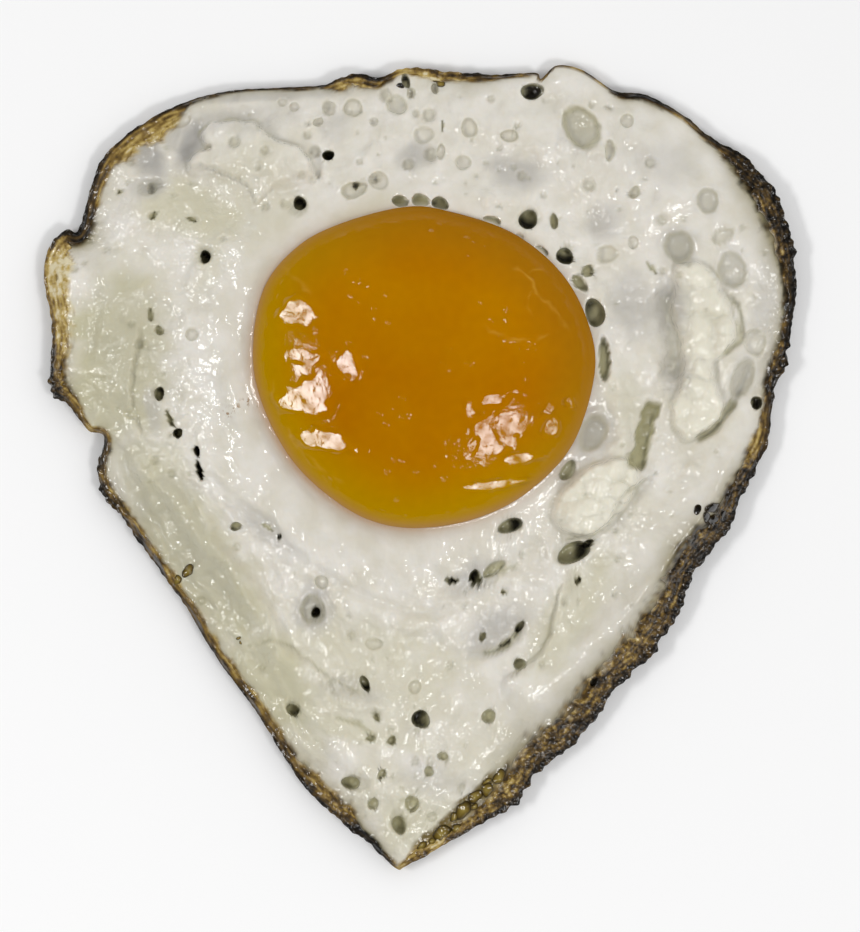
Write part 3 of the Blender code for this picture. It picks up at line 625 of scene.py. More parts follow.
# Round the rim from the upper left corner, clockwise: x, y, width of the band, height of its blisters,
# char (0 is pale gold, 1 is black) and raggedness of the edge.
RIM_LOOK = (
    (-30.9, 49.2, 0.4, 0.1, 0.78, 0.15), (-24.2, 50.6, 0.2, 0.06, 0.78, 0.12),
    (-13.5, 51.2, 0.3, 0.08, 0.78, 0.12), (-11, 52, 1.6, 0.35, 0.55, 0.35),
    (-6.5, 52.3, 1.7, 0.35, 0.6, 0.35), (-4.8, 52.4, 0.8, 0.3, 0.75, 0.35), (-2, 53.4, 0.6, 0.25, 0.3, 0.4),
    (2, 53.1, 1.4, 0.4, 0.45, 0.35), (6.5, 52.8, 1.2, 0.3, 0.65, 0.3), (12, 52.8, 0.4, 0.12, 0.7, 0.2),
    (15.5, 52.9, 0.25, 0.08, 0.6, 0.12), (20, 53.8, 0.15, 0.04, 0.5, 0.05),
    (25, 51.2, 0.2, 0.04, 0.65, 0.06), (27.5, 50.2, 0.6, 0.12, 0.9, 0.2), (32, 49.2, 0.7, 0.15, 0.88, 0.2),
    (35.5, 47.2, 0.35, 0.1, 0.5, 0.12), (40, 43.8, 0.8, 0.2, 0.8, 0.25), (43.3, 41.8, 2.2, 0.4, 0.95, 0.45),
    (46.4, 38.7, 2.8, 0.45, 0.95, 0.6), (48.6, 34.4, 2.8, 0.5, 0.9, 0.7), (50, 29.5, 2.4, 0.5, 0.85, 0.75),
    (50.4, 24, 1.5, 0.25, 0.9, 0.45), (50, 18.5, 1.2, 0.2, 0.85, 0.35), (49, 14, 1.4, 0.6, 0.76, 1.5),
    (47.9, 11.5, 1.2, 0.4, 0.85, 0.5), (47.2, 7, 1.4, 0.15, 0.55, 0.2), (46.6, 3, 2, 0.25, 0.5, 0.4),
    (44.6, -0.8, 1.9, 0.45, 0.8, 0.55), (42.4, -6, 2.6, 0.55, 0.9, 0.65), (40, -10.1, 3.2, 0.6, 0.9, 0.7),
    (36.7, -14.4, 3.4, 0.6, 0.88, 0.7), (34.6, -19.5, 3.6, 0.65, 0.78, 0.75),
    (31.1, -25.3, 4.2, 0.7, 0.7, 0.75), (26.7, -29.2, 3.6, 0.65, 0.72, 0.75),
    (23.2, -34.1, 3.8, 0.6, 0.78, 0.65), (19.3, -38.3, 4, 0.6, 0.74, 0.7),
    (15.8, -40.8, 3.8, 0.6, 0.74, 0.8), (12.6, -45.3, 3.2, 0.55, 0.7, 0.8),
    (8.1, -48.1, 2, 0.45, 0.62, 0.4), (3.6, -50.7, 1.3, 0.35, 0.42, 0.2), (0, -52.8, 1.4, 0.4, 0.4, 0.2),
    (-3.2, -54.1, 0.4, 0.05, 0.4, 0.05), (-6, -51.5, 0.7, 0.15, 0.95, 0.45),
    (-8.5, -49.2, 1, 0.25, 0.9, 0.4), (-10.5, -47.6, 2.2, 0.4, 0.62, 0.35),
    (-14.5, -43.8, 2.2, 0.28, 0.62, 0.25), (-18, -39.5, 1.6, 0.22, 0.62, 0.2),
    (-22.4, -32.3, 1.3, 0.15, 0.55, 0.15), (-27.1, -26.1, 1.4, 0.12, 0.5, 0.12),
    (-31.2, -19.2, 1.1, 0.12, 0.55, 0.2), (-34, -15, 1.1, 0.2, 0.5, 0.25), (-38, -10, 1.2, 0.2, 0.62, 0.3),
    (-43, -2.5, 1.3, 0.35, 0.62, 1), (-42.6, 3.2, 0.9, 0.15, 0.7, 0.2), (-44.6, 4.9, 0.6, 0.1, 0.35, 0.1),
    (-47.1, 8.2, 1.3, 0.25, 0.55, 0.3), (-49, 10.5, 2.2, 0.55, 0.72, 1.7),
    (-49.2, 13.4, 1.8, 0.35, 0.62, 0.35), (-49.3, 18, 2.4, 0.3, 0.4, 0.3),
    (-50, 23.5, 3.2, 0.3, 0.22, 0.25), (-50.3, 28.5, 3.8, 0.3, 0.18, 0.25),
    (-48.5, 31.3, 2.8, 0.35, 0.52, 0.3), (-46.4, 31.7, 1.8, 0.3, 0.95, 0.25),
    (-45, 34.6, 1.4, 0.2, 0.62, 0.25), (-43.4, 39.5, 1.5, 0.2, 0.6, 0.25),
    (-41.5, 42.8, 2.6, 0.24, 0.46, 0.2), (-37.9, 45.6, 2.9, 0.24, 0.44, 0.2),
    (-34, 47.8, 2.6, 0.25, 0.42, 0.15), (-32, 48.8, 1.2, 0.2, 0.6, 0.15),
)  # fmt: skip


def rim_look(along):
    """Band width, blister height, char and raggedness along the rim, blended between its stations."""
    keys = np.array(RIM_LOOK)
    _, place, total = from_loop(keys[:, 0], keys[:, 1], white_outline)
    order = np.argsort(place)
    return [np.interp(along, place[order], keys[order, k], period=total) for k in (2, 3, 4, 5)]


def toasting(along, from_rim):
    """How browned a place near the rim is, how charred, and how dark the white beside it is made, partly
    browning and partly painted shade where it curves down to the rim; each 0 to 1.

    The band's inner edge wanders, and long thin streaks run along it.
    """
    width, _, char, _ = rim_look(along)
    wander = 1 + 0.30 * noise(along, from_rim, 2.6, 41) + 0.20 * noise(along, from_rim, 0.9, 42)
    across = from_rim / (width * wander + 0.15)
    brown = smooth((1.15 - across) / 0.40)
    outer = np.exp(-((from_rim / 0.40) ** 2))
    streak = noise(along / 5, from_rim, 0.42, 43)
    patch = noise(along, from_rim, 2.2, 44)
    toasted = char + 0.26 * streak + 0.14 * patch + 0.28 * outer * smooth(width / 1.8) - 0.12 * smooth(across)
    # browning and painted shade on the white just inside a charred rim
    rim_shade_and_browning = smooth(1.3 * char - 0.3) * np.exp(-np.maximum(from_rim - width, 0) / (0.35 + 0.35 * width))
    return brown, np.clip(toasted, 0, 1), rim_shade_and_browning


# The sheet's mesh: a disc-shaped top, and a base that lay on the pan and is browned.

WHITE_CELLS = 296  # grid cells across the sheet, about 0.3 mm each
BASE_RINGS = 7
SOFTENED = 20  # outline steps over which the inner grid lines smooth the outline
RIM_INSET = 0.15  # the sheet stops a little inside the outline, under the browned rim
BASE_Z = 0.02
BASE_TUCK = 0.4  # how far in the base's first ring lies


def square_to_disc(cells):
    """A square grid bent into a disc: the larger coordinate gives the radius, the smaller the angle."""
    u, v = np.meshgrid(np.linspace(-1, 1, cells + 1), np.linspace(-1, 1, cells + 1), indexing="ij")
    across = np.abs(u) > np.abs(v)
    radius = np.where(across, u, v)
    other = np.where(across, v, u)
    quarter = np.pi / 4 * other / np.where(radius == 0, 1, radius)
    angle = np.where(across, quarter, np.pi / 2 - quarter)
    return np.abs(radius), np.where(radius < 0, angle + np.pi, angle)


def border_of(cells):
    """Indices of a square grid's border points, anticlockwise."""
    index = np.arange((cells + 1) ** 2).reshape(cells + 1, cells + 1)
    return np.concatenate([index[:-1, 0], index[-1, :-1], index[:0:-1, -1], index[0, :0:-1]])


def quads(index):
    """Corner indices of the quads between neighbouring rows and columns of an array of point numbers."""
    corners = index[:-1, :-1], index[1:, :-1], index[1:, 1:], index[:-1, 1:]
    return np.stack([corner.ravel() for corner in corners], axis=1)


def close_below(top, cells, rings, pole):
    """Points and faces of a grid, of rings hung from its border, and of a fan that closes them at a pole."""
    border = border_of(cells)
    hung = len(top) + np.arange(rings.shape[0] * rings.shape[1]).reshape(rings.shape[:2])
    index = np.vstack([border, hung])
    index = np.hstack([index, index[:, :1]])
    points = np.vstack([top, rings.reshape(-1, 3), [pole]])
    last = index[-1]
    middle = np.full(len(border), len(points) - 1)
    fan = np.stack([last[:-1], middle, last[1:], np.full(len(border), -1)], axis=1)
    grid = np.arange((cells + 1) ** 2).reshape(cells + 1, cells + 1)
    return points, np.vstack([quads(grid), quads(index), fan])


def add_piece(name, points, faces, values, material):
    """A smooth mesh from points in millimetres, faces (-1 fills out a triangle) and values by name."""
    mesh = bpy.data.meshes.new(name)
    mesh.vertices.add(len(points))
    mesh.vertices.foreach_set("co", (points * MM).astype(np.float32).ravel())
    sides = (faces >= 0).sum(axis=1)
    mesh.loops.add(int(sides.sum()))
    mesh.loops.foreach_set("vertex_index", faces[faces >= 0].astype(np.int32))
    mesh.polygons.add(len(faces))
    mesh.polygons.foreach_set("loop_start", np.concatenate([[0], np.cumsum(sides)[:-1]]).astype(np.int32))
    mesh.polygons.foreach_set("loop_total", sides.astype(np.int32))
    mesh.update(calc_edges=True)
    mesh.validate()
    mesh.shade_smooth()
    for label, numbers in values.items():
        layer = mesh.attributes.new(label, "FLOAT", "POINT")
        layer.data.foreach_set("value", numbers.astype(np.float32).ravel())
    mesh.materials.append(material)
    piece = bpy.data.objects.new(name, mesh)
    bpy.context.scene.collection.objects.link(piece)
    return piece


def linear(hex_colour):
    """An sRGB hex colour as linear red, green, blue and alpha."""
    channels = [int(hex_colour[i : i + 2], 16) / 255 for i in (1, 3, 5)]
    return (*(c / 12.92 if c <= 0.04045 else ((c + 0.055) / 1.055) ** 2.4 for c in channels), 1)


def add(tree, kind, inputs, out=0, stops=(), **settings):
    """Adds one shader node with its settings, sets or links its inputs, and returns the output asked for.

    Inputs are named by identifier or by label, and stops are the (place, colour) pairs of a colour ramp.
    """
    made = tree.nodes.new("ShaderNode" + kind)
    for label, value in settings.items():
        setattr(made, label, value)
    for k, (place, colour) in enumerate(stops):
        ramp = made.color_ramp.elements
        element = ramp[0] if k == 0 else ramp[-1] if k == len(stops) - 1 else ramp.new(place)
        element.position, element.color = place, linear(colour)
    by_identifier = {socket.identifier: socket for socket in made.inputs}
    for label, value in inputs.items():
        socket = by_identifier.get(label) or made.inputs[label]
        if isinstance(value, bpy.types.NodeSocket):
            tree.links.new(value, socket)
        else:
            socket.default_value = value
    return made.outputs[out]


def new_material(name, shader_inputs):
    """A material with its tree, and a Principled shader whose inputs come from a function of that tree."""
    material = bpy.data.materials.new(name)
    material.use_nodes = True
    tree = material.node_tree
    tree.nodes.clear()
    output = tree.nodes.new("ShaderNodeOutputMaterial")
    tree.links.new(add(tree, "BsdfPrincipled", shader_inputs(tree)), output.inputs["Surface"])
    return material


# Colours of frying white, from pale gold to carbon.
TOAST = (
    (0.02, "#DCD0AC"), (0.22, "#B99F58"), (0.42, "#82672C"),
    (0.60, "#513D1A"), (0.80, "#281E0E"), (0.98, "#0D0A07"),
)  # fmt: skip


# Pattern scales per metre: cloudy patches 4 mm across, ripples 1.2 mm and grain 0.5 mm.
MOTTLE, RIPPLE, GRAIN = 260.0, 800.0, 1900.0


def cooked_albumen(tree):
    """Cooked albumen. Light goes a millimetre into it, so shadows are soft and thin places look lilac;
    a film of steam and fat gives small sharp lights. Where it met the pan it is gold, brown and black."""
    place = add(tree, "TexCoord", {}, out="Object")
    reads = {}
    for label in ("painted_shade", "black", "clear", "cream", "curd", "peach",
                  "crumbs", "gilt", "rim_shade_and_browning", "brown", "char", "rough"):  # fmt: skip
        reads[label] = add(tree, "Attribute", {}, out="Fac", attribute_name=label)
    mottle = add(tree, "TexNoise", {"Vector": place, "Scale": MOTTLE, "Detail": 3.0})
    ripple = add(tree, "TexNoise", {"Vector": place, "Scale": RIPPLE, "Detail": 1.5})
    grain = add(tree, "TexNoise", {"Vector": place, "Scale": GRAIN, "Detail": 2.0})

    colour = add(tree, "ValToRGB", {"Fac": mottle}, stops=((0.35, "#DBD6C8"), (0.65, "#E6E2D9")))
    creamy = add(tree, "Math", {"Value": reads["cream"], "Value_001": 0.88}, operation="MULTIPLY")
    shaded = add(tree, "MapRange", {"Value": reads["painted_shade"], "From Min": 0.03, "From Max": 0.75})
    specks = add(tree, "MapRange", {"Value": grain, "From Min": 0.54, "From Max": 0.60})
    rusty = add(tree, "Math", {"Value": reads["crumbs"], "Value_001": specks}, operation="MULTIPLY")
    speckle = {"Value": grain, "From Min": 0.35, "From Max": 0.65, "To Min": -0.08, "To Max": 0.08}
    speckle = add(tree, "MapRange", speckle)
    tone = add(tree, "Math", {"Value": reads["char"], "Value_001": speckle}, operation="ADD")
    layers = (
        (reads["curd"], linear("#EEEADB")),
        (creamy, linear("#C7C2A3")),
        (reads["clear"], linear("#B5B2AC")),
        (reads["peach"], linear("#BC9F83")),
        (reads["gilt"], linear("#6E5D2E")),
        # browning and painted shade on the white beside the charred rim
        (reads["rim_shade_and_browning"], linear("#8D835F")),
        # painted shade: olive in pits, craters and creases
        (shaded, linear("#B5B08C")),
        # dark crescent in some pits: painted shadow, partly the charred base showing through
        (reads["black"], linear("#1B170F")),
        (rusty, linear("#A58A6C")),
        (reads["brown"], add(tree, "ValToRGB", {"Fac": tone}, stops=TOAST)),
    )
    for share, tint in layers:
        mixed = {"Factor_Float": share, "A_Color": colour, "B_Color": tint}
        colour = add(tree, "Mix", mixed, out=2, data_type="RGBA")

    soft = add(tree, "Bump", {"Height": ripple, "Strength": reads["rough"], "Distance": 0.00025})
    waves = add(tree, "Bump", {"Height": ripple, "Strength": reads["rough"], "Distance": 0.0008})
    fine = {"Height": grain, "Strength": reads["rough"], "Distance": 0.0001, "Normal": waves}
    fine = add(tree, "Bump", fine)
    return {
        "Base Color": colour,
        "Roughness": 0.36,
        "IOR": 1.38,
        "Subsurface Weight": 0.30,
        "Subsurface Radius": (1.0, 0.85, 0.65),
        "Subsurface Scale": 0.0010,
        "Coat Weight": 0.9,
        "Coat Roughness": 0.05,
        "Coat IOR": 1.45,
        "Normal": soft,
        "Coat Normal": fine,
    }


def make_white():
    """The top is a disc-shaped grid gathered round its pits; the base is rings drawn in from the rim."""
    radius, angle = square_to_disc(WHITE_CELLS)
    turns = np.linspace(-np.pi, np.pi, 720, endpoint=False)
    exact = reach(white_outline, WHITE_CENTRE, turns)
    wrapped = np.concatenate([exact[-SOFTENED:], exact, exact[:SOFTENED]])
    window = np.hanning(2 * SOFTENED + 1)
    soft = np.convolve(wrapped, window / window.sum(), "valid")
    full = reach(white_outline, WHITE_CENTRE, angle)
    inner = np.interp(angle, turns, soft, period=2 * np.pi)
    arm = radius * (inner + (full - inner) * radius**12 - RIM_INSET)
    rim_x, rim_y = WHITE_CENTRE[0] + arm * np.cos(angle), WHITE_CENTRE[1] + arm * np.sin(angle)
    x, y = gather(rim_x, rim_y, PITS)
    x, y = gather(x, y, CRATERS, clear_of=PITS)
    held = smooth((1 - radius) * 30)
    x, y = rim_x + (x - rim_x) * held, rim_y + (y - rim_y) * held
    from_rim, along, height, looks, wall_shift = skin_of_white(x, y)
    in_seat = smooth((-0.5 - from_yolk_edge(x, y)) / 1.0)
    height = height + (YOLK_SEAT - height) * in_seat
    x, y = x + wall_shift[..., 0] * held, y + wall_shift[..., 1] * held
    top = np.stack([x, y, height], axis=-1).reshape(-1, 3)

    edge = top[border_of(WHITE_CELLS)]
    inward = (*WHITE_CENTRE, 0) - edge
    inward[:, 2] = 0
    span = np.linalg.norm(inward, axis=1)
    inward /= span[:, None]
    rings = []
    for share in np.linspace(0, 1, BASE_RINGS + 1)[:-1] ** 1.5:
        gap = BASE_TUCK + (span - BASE_TUCK) * share
        ring = edge + inward * gap[:, None]
        ring[:, 2] = BASE_Z + RIM_LIFT * smooth(1 - gap / LIFT_WIDTH)
        rings.append(ring)
    points, faces = close_below(top, WHITE_CELLS, np.array(rings), (*WHITE_CENTRE, BASE_Z))

    looks["brown"], looks["char"], looks["rim_shade_and_browning"] = toasting(along, from_rim)
    looks["painted_shade"] = looks["painted_shade"] * (1 - in_seat)
    below = np.ones(len(points) - len(top))
    base = {"brown": 0.85, "char": 0.42}
    values = {}
    for label, look in looks.items():
        values[label] = np.concatenate([look.ravel(), base.get(label, 0) * below])
    return points, faces, values


albumen = new_material("cooked_albumen", cooked_albumen)
white = add_piece("set_white", *make_white(), albumen)
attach(white, "root")
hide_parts("egg_white")

# ---------------------------------------------------------------------------
# The browned rim: albumen fried in fat to a brittle lace of tiny blisters. It wraps the edge of the
# white, from a hair's width to 4 mm in from it, and is ragged where it charred.
# ---------------------------------------------------------------------------

RIM_STATIONS = 1500
RIM_ACROSS = 26
RIM_BELOW = ((0.45, 0.03), (0.9, 0.15), (1.0, 0.7), (1.0, 1.6))  # share of the way down, and how far in
CRACKLE = 1500.0  # per metre: cracks about 0.7 mm apart


def fried_crust(tree):
    """Fried crust: gold, brown and black by how hot it got, crackled where it blistered, and greasy."""
    place = add(tree, "TexCoord", {}, out="Object")
    labels = ("brown", "char", "grainy")
    brown, char, grainy = (add(tree, "Attribute", {}, out="Fac", attribute_name=label) for label in labels)
    grain = add(tree, "TexNoise", {"Vector": place, "Scale": CRACKLE, "Detail": 3.0})
    crackle = add(tree, "TexVoronoi", {"Vector": place, "Scale": CRACKLE}, out="Distance")
    speckle = {"Value": grain, "From Min": 0.35, "From Max": 0.65, "To Min": -0.18, "To Max": 0.18}
    speckle = add(tree, "MapRange", speckle)
    tone = {"Value": grainy, "Value_001": speckle, "Value_002": char}
    tone = add(tree, "Math", tone, operation="MULTIPLY_ADD")
    toast = add(tree, "ValToRGB", {"Fac": tone}, stops=TOAST)
    colour = add(tree, "Mix", {"Factor_Float": brown, "A_Color": linear("#D2CBB6"), "B_Color": toast},
                 out=2, data_type="RGBA")
    coarse = add(tree, "Bump", {"Height": crackle, "Strength": grainy, "Distance": 0.00025}, invert=True)
    fine = add(tree, "Bump", {"Height": grain, "Strength": grainy, "Distance": 0.00015, "Normal": coarse})
    return {
        "Base Color": colour,
        "Roughness": 0.45,
        "IOR": 1.45,
        "Coat Weight": 0.8,
        "Coat Roughness": 0.10,
        "Normal": fine,
        "Coat Normal": fine,
    }


def make_rim():
    """A closed band swept round the outline: over the top from its inner edge, and back below."""
    closed = np.vstack([white_outline, white_outline[:1]])
    runs = np.concatenate([[0], np.cumsum(np.hypot(*np.diff(closed, axis=0).T))])
    along = np.linspace(0, runs[-1], RIM_STATIONS, endpoint=False)
    edge = np.column_stack([np.interp(along, runs, closed[:, k]) for k in (0, 1)])
    wide = np.roll(edge, -6, axis=0) - np.roll(edge, 6, axis=0)
    inward = np.column_stack([wide[:, 1], -wide[:, 0]])
    inward /= np.linalg.norm(inward, axis=1, keepdims=True)
    width, blister, _, ragged = rim_look(along)
    still = np.zeros(RIM_STATIONS)
    wander = 1 + 0.35 * noise(along, still, 2.6, 51) + 0.25 * noise(along, still, 1.0, 52)
    width = width * wander + 0.1
    outward = ragged * (0.35 + 0.6 * noise(along, still, 2.4, 53) + 0.5 * noise(along, still, 0.9, 54))
    outward = np.maximum(outward, -0.1)

    share = np.linspace(0, 1, RIM_ACROSS)[:, None]
    across = -outward + (width + outward) * (1 - share) ** 1.15
    top = edge + inward * across[..., None]
    x, y = top[..., 0], top[..., 1]
    height = skin_of_white(x, y)[2]
    s = np.broadcast_to(along, across.shape)
    cell, owner = bubbles(s, across, 1.05, 55)
    small, _ = bubbles(s, across, 0.55, 56)
    lace = 0.6 * np.sqrt(np.clip(1 - (cell / 0.75) ** 2, 0, 1)) * (0.4 + 0.6 * owner)
    lace += 0.4 * np.sqrt(np.clip(1 - (small / 0.75) ** 2, 0, 1))
    brown, toast, _ = toasting(s, np.maximum(across, 0))
    body = smooth((1 - across / width) / 0.35) * smooth(brown * 1.6 - 0.4)
    height = height + blister * (0.25 + lace) * body - 0.22 * (1 - body)
    height -= 0.35 * smooth(-across / 0.6) + 0.25 * smooth(1 - np.abs(across) / 0.5) * (1 - blister)

    below = []
    for drop, back in RIM_BELOW:
        ring = edge + inward * (back - outward)[:, None]
        low = RIM_LIFT * smooth(1 - np.maximum(back - outward, 0) / LIFT_WIDTH) - 0.03
        level = height[-1] + (np.maximum(low, 0.01) - height[-1]) * drop
        below.append(np.column_stack([ring, level]))
    rows = np.concatenate([np.dstack([top, height]), np.array(below)])
    index = np.arange(rows.shape[0] * RIM_STATIONS).reshape(rows.shape[0], RIM_STATIONS)
    index = np.vstack([index, index[:1]])
    index = np.hstack([index, index[:, :1]])
    hidden = np.ones((len(below), RIM_STATIONS))
    # darker in the gaps between blisters and lighter on their tops
    toast = toast - 0.5 * (lace - 0.42) * smooth((blister - 0.1) / 0.4)
    grainy = np.broadcast_to(0.30 + 0.55 * smooth((blister - 0.22) / 0.25), across.shape)
    values = {
        "brown": np.concatenate([brown, hidden]),
        "grainy": np.concatenate([grainy, 0.5 * hidden]),
        "char": np.concatenate([toast, hidden * np.clip(toast[-1], 0.45, 0.9)]),
    }
    return rows.reshape(-1, 3), quads(index)[:, ::-1], values


rim = add_piece("browned_rim", *make_rim(), new_material("fried_crust", fried_crust))
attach(rim, "root")

# ---------------------------------------------------------------------------
# Blisters: pockets of steam under a thin skin. Golden ones lie in a chain by the point and on the left
# side; black glassy ones stand where fat spat on the right.
# ---------------------------------------------------------------------------

# Of each blister: x, y, width, length, turn, rise.
GOLDEN_BLISTERS = (
    (0.2, -51, 1.7, 1, 45, 0.35), (1.6, -50.4, 1.2, 0.9, 20, 0.4), (2.9, -49.2, 2.7, 1.7, 40, 0.6),
    (4.9, -48.6, 1.9, 1.3, 20, 0.45), (4.6, -47, 1.1, 1.5, -30, 0.35), (5.8, -46.1, 1.8, 2.9, -40, 0.55),
    (7.3, -45.6, 1, 1.3, -20, 0.35), (7.4, -44.2, 1.3, 2.3, -48, 0.45), (9, -43.4, 1.5, 1.9, -30, 0.4),
    (9, -42.2, 0.8, 1.4, -60, 0.3), (10.6, -41.6, 1.6, 2.4, -40, 0.5), (-31.2, -13.9, 1.5, 2.2, -35, 0.4),
    (-32.6, -15.2, 1.1, 1.4, -20, 0.3), (-24.5, -23, 0.7, 0.4, 20, 0.2), (-24.1, -23.5, 0.3, 0.6, 20, 0.2),
    (2.8, 51.6, 1.5, 1, -30, 0.4), (2, 52.4, 0.8, 1.1, -20, 0.3),
)  # fmt: skip
BLACK_BLISTERS = (
    (37.1, -5.6, 0.9, 1.3, -10, 0.25), (39.3, -5.4, 2.4, 1.3, 20, 0.7), (39.6, -7, 1.9, 1.6, 40, 0.6),
    (38.5, -6.8, 1.1, 1.6, 20, 0.45), (40.7, -6.2, 1.6, 1.8, 0, 0.6), (-2.6, 51.4, 1, 0.8, 0, 0.25),
)  # fmt: skip
BLISTER_CELLS = 18


def golden_skin(tree):
    """Skin of a blister fried in fat: clear yellow in its middle, and brown where it creases at its foot."""
    edge = add(tree, "Attribute", {}, out="Fac", attribute_name="edge")
    browning = ((0.1, "#93803C"), (0.6, "#6E5B22"), (0.9, "#33270B"))
    colour = add(tree, "ValToRGB", {"Fac": edge}, stops=browning)
    return {"Base Color": colour, "Roughness": 0.3, "IOR": 1.4, "Coat Weight": 1.0, "Coat Roughness": 0.05}


def charred_skin(tree):
    """Skin burnt to glassy carbon, with a brown foot."""
    edge = add(tree, "Attribute", {}, out="Fac", attribute_name="edge")
    colour = add(tree, "ValToRGB", {"Fac": edge}, stops=((0.5, "#120F0B"), (1.0, "#33260F")))
    return {"Base Color": colour, "Roughness": 0.25, "IOR": 1.5, "Coat Weight": 1.0, "Coat Roughness": 0.06}


def make_blisters(rows):
    """Each is a dome, a half ellipse across, that stands on the white and is closed a little below it."""
    radius, angle = square_to_disc(BLISTER_CELLS)
    meshes = []
    for cx, cy, width, length, turn, rise in rows:
        a, b = radius * width / 2 * np.cos(angle), radius * length / 2 * np.sin(angle)
        c, s = np.cos(np.radians(turn)), np.sin(np.radians(turn))
        x, y = cx + a * c - b * s, cy + a * s + b * c
        x, y = x + 0.25 * noise(x, y, 1.1, 61), y + 0.25 * noise(x, y, 1.1, 62)
        dome = np.sqrt(np.clip(1 - radius**2, 0, 1))
        level = skin_of_white(x, y)[2]
        height = level + rise * dome * (1 + 0.3 * noise(x, y, 0.7, 63)) - 0.05
        top = np.stack([x, y, height], axis=-1).reshape(-1, 3)
        border = border_of(BLISTER_CELLS)
        ring = top[border] - (0, 0, 0.3)
        pole = (*ring[:, :2].mean(axis=0), ring[:, 2].min())
        points, faces = close_below(top, BLISTER_CELLS, ring[None], pole)
        meshes.append((points, faces, np.concatenate([radius.ravel(), np.ones(len(points) - len(top))])))
    starts = np.cumsum([0] + [len(points) for points, _, _ in meshes[:-1]])
    faces = np.vstack([np.where(f < 0, f, f + start) for (_, f, _), start in zip(meshes, starts)])
    return np.vstack([m[0] for m in meshes]), faces, {"edge": np.concatenate([m[2] for m in meshes])}


for name, rows, skin in (
    ("golden_blisters", GOLDEN_BLISTERS, golden_skin),
    ("black_blisters", BLACK_BLISTERS, charred_skin),
):
    cluster = add_piece(name, *make_blisters(rows), new_material(name + "_skin", skin))
    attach(cluster, "root")

# ---------------------------------------------------------------------------
# The yolk: liquid under a thin cooked skin, deep amber, flattened by its own weight.
# The skin is slack, so it is dimpled and creased and shows many small lights.
# ---------------------------------------------------------------------------

YOLK_CELLS = 260
YOLK_RINGS = 12
YOLK_WIDEST_Z = 6.6
YOLK_RISE = 9.0
YOLK_DROP = 5.0
YOLK_ROUNDNESS = 2.25
VEIL_SIDE = 50  # degrees: the way from the yolk's middle that is clear of the veil of white

# Flats where the slack skin is drawn tight, which catch the soft boxes: x, y, width, length, turn,
# then the way each faces and its tilt.
FLATS = (
    (-16.3, 20.6, 3.6, 4.4, 20, 176, 20), (-15.3, 14.6, 4.5, 1.8, 0, 182, 21),
    (-15, 9.2, 6.4, 4.6, -12, 188, 20), (-12.8, 3.7, 6, 2.8, -20, 196, 20),
    (-9.5, 13.4, 2.6, 4.2, 10, 186, 20), (9.6, 9, 2.5, 1.6, 10, -40, 16), (6.8, 7.5, 1.3, 2.6, 20, -42, 16),
    (8.9, 3.9, 2.3, 5, 25, -44, 16), (11.8, 4.7, 1.4, 6, 25, -42, 16), (6.7, 2.3, 1.3, 2.8, -25, -44, 16),
    (13.2, 1.2, 4.8, 1.4, 8, -46, 17), (9.8, -2.3, 7, 1.5, 6, -48, 16), (17.5, 5.3, 2.2, 2.5, 0, -36, 17),
    (17.2, 7.8, 2.2, 1.2, 30, -34, 16), (19.9, 8.6, 1.4, 1.4, 0, -30, 17),
)  # fmt: skip

# Creases of the slack skin: depth, half width and line.
CREASES = (
    (0.14, 0.35, ((11.9, 26.7), (14, 25.6), (15.5, 23.9), (17.7, 21.2), (20.5, 18))),
    (0.12, 0.3, ((14, 25.6), (15.6, 26.4), (17.2, 26))),
    (0.1, 0.3, ((15.5, 23.9), (14.4, 21.5), (14.9, 19.6))),
    (0.1, 0.4, ((-18.9, 27.3), (-16.2, 24.8), (-13.8, 22))),
    (0.12, 0.35, ((8, 19), (11, 17.4), (14.5, 16.8), (17.8, 17.6))),
    (0.1, 0.5, ((-20, 12), (-18.5, 6.5), (-15, 1.5), (-10, -2.5))),
)  # fmt: skip


# Pattern scales per metre: clouds 14 mm across, slack patches 7 mm, wrinkles and dimples 1.6 mm.
CLOUD, SLACK, WRINKLE = 70.0, 150.0, 620.0


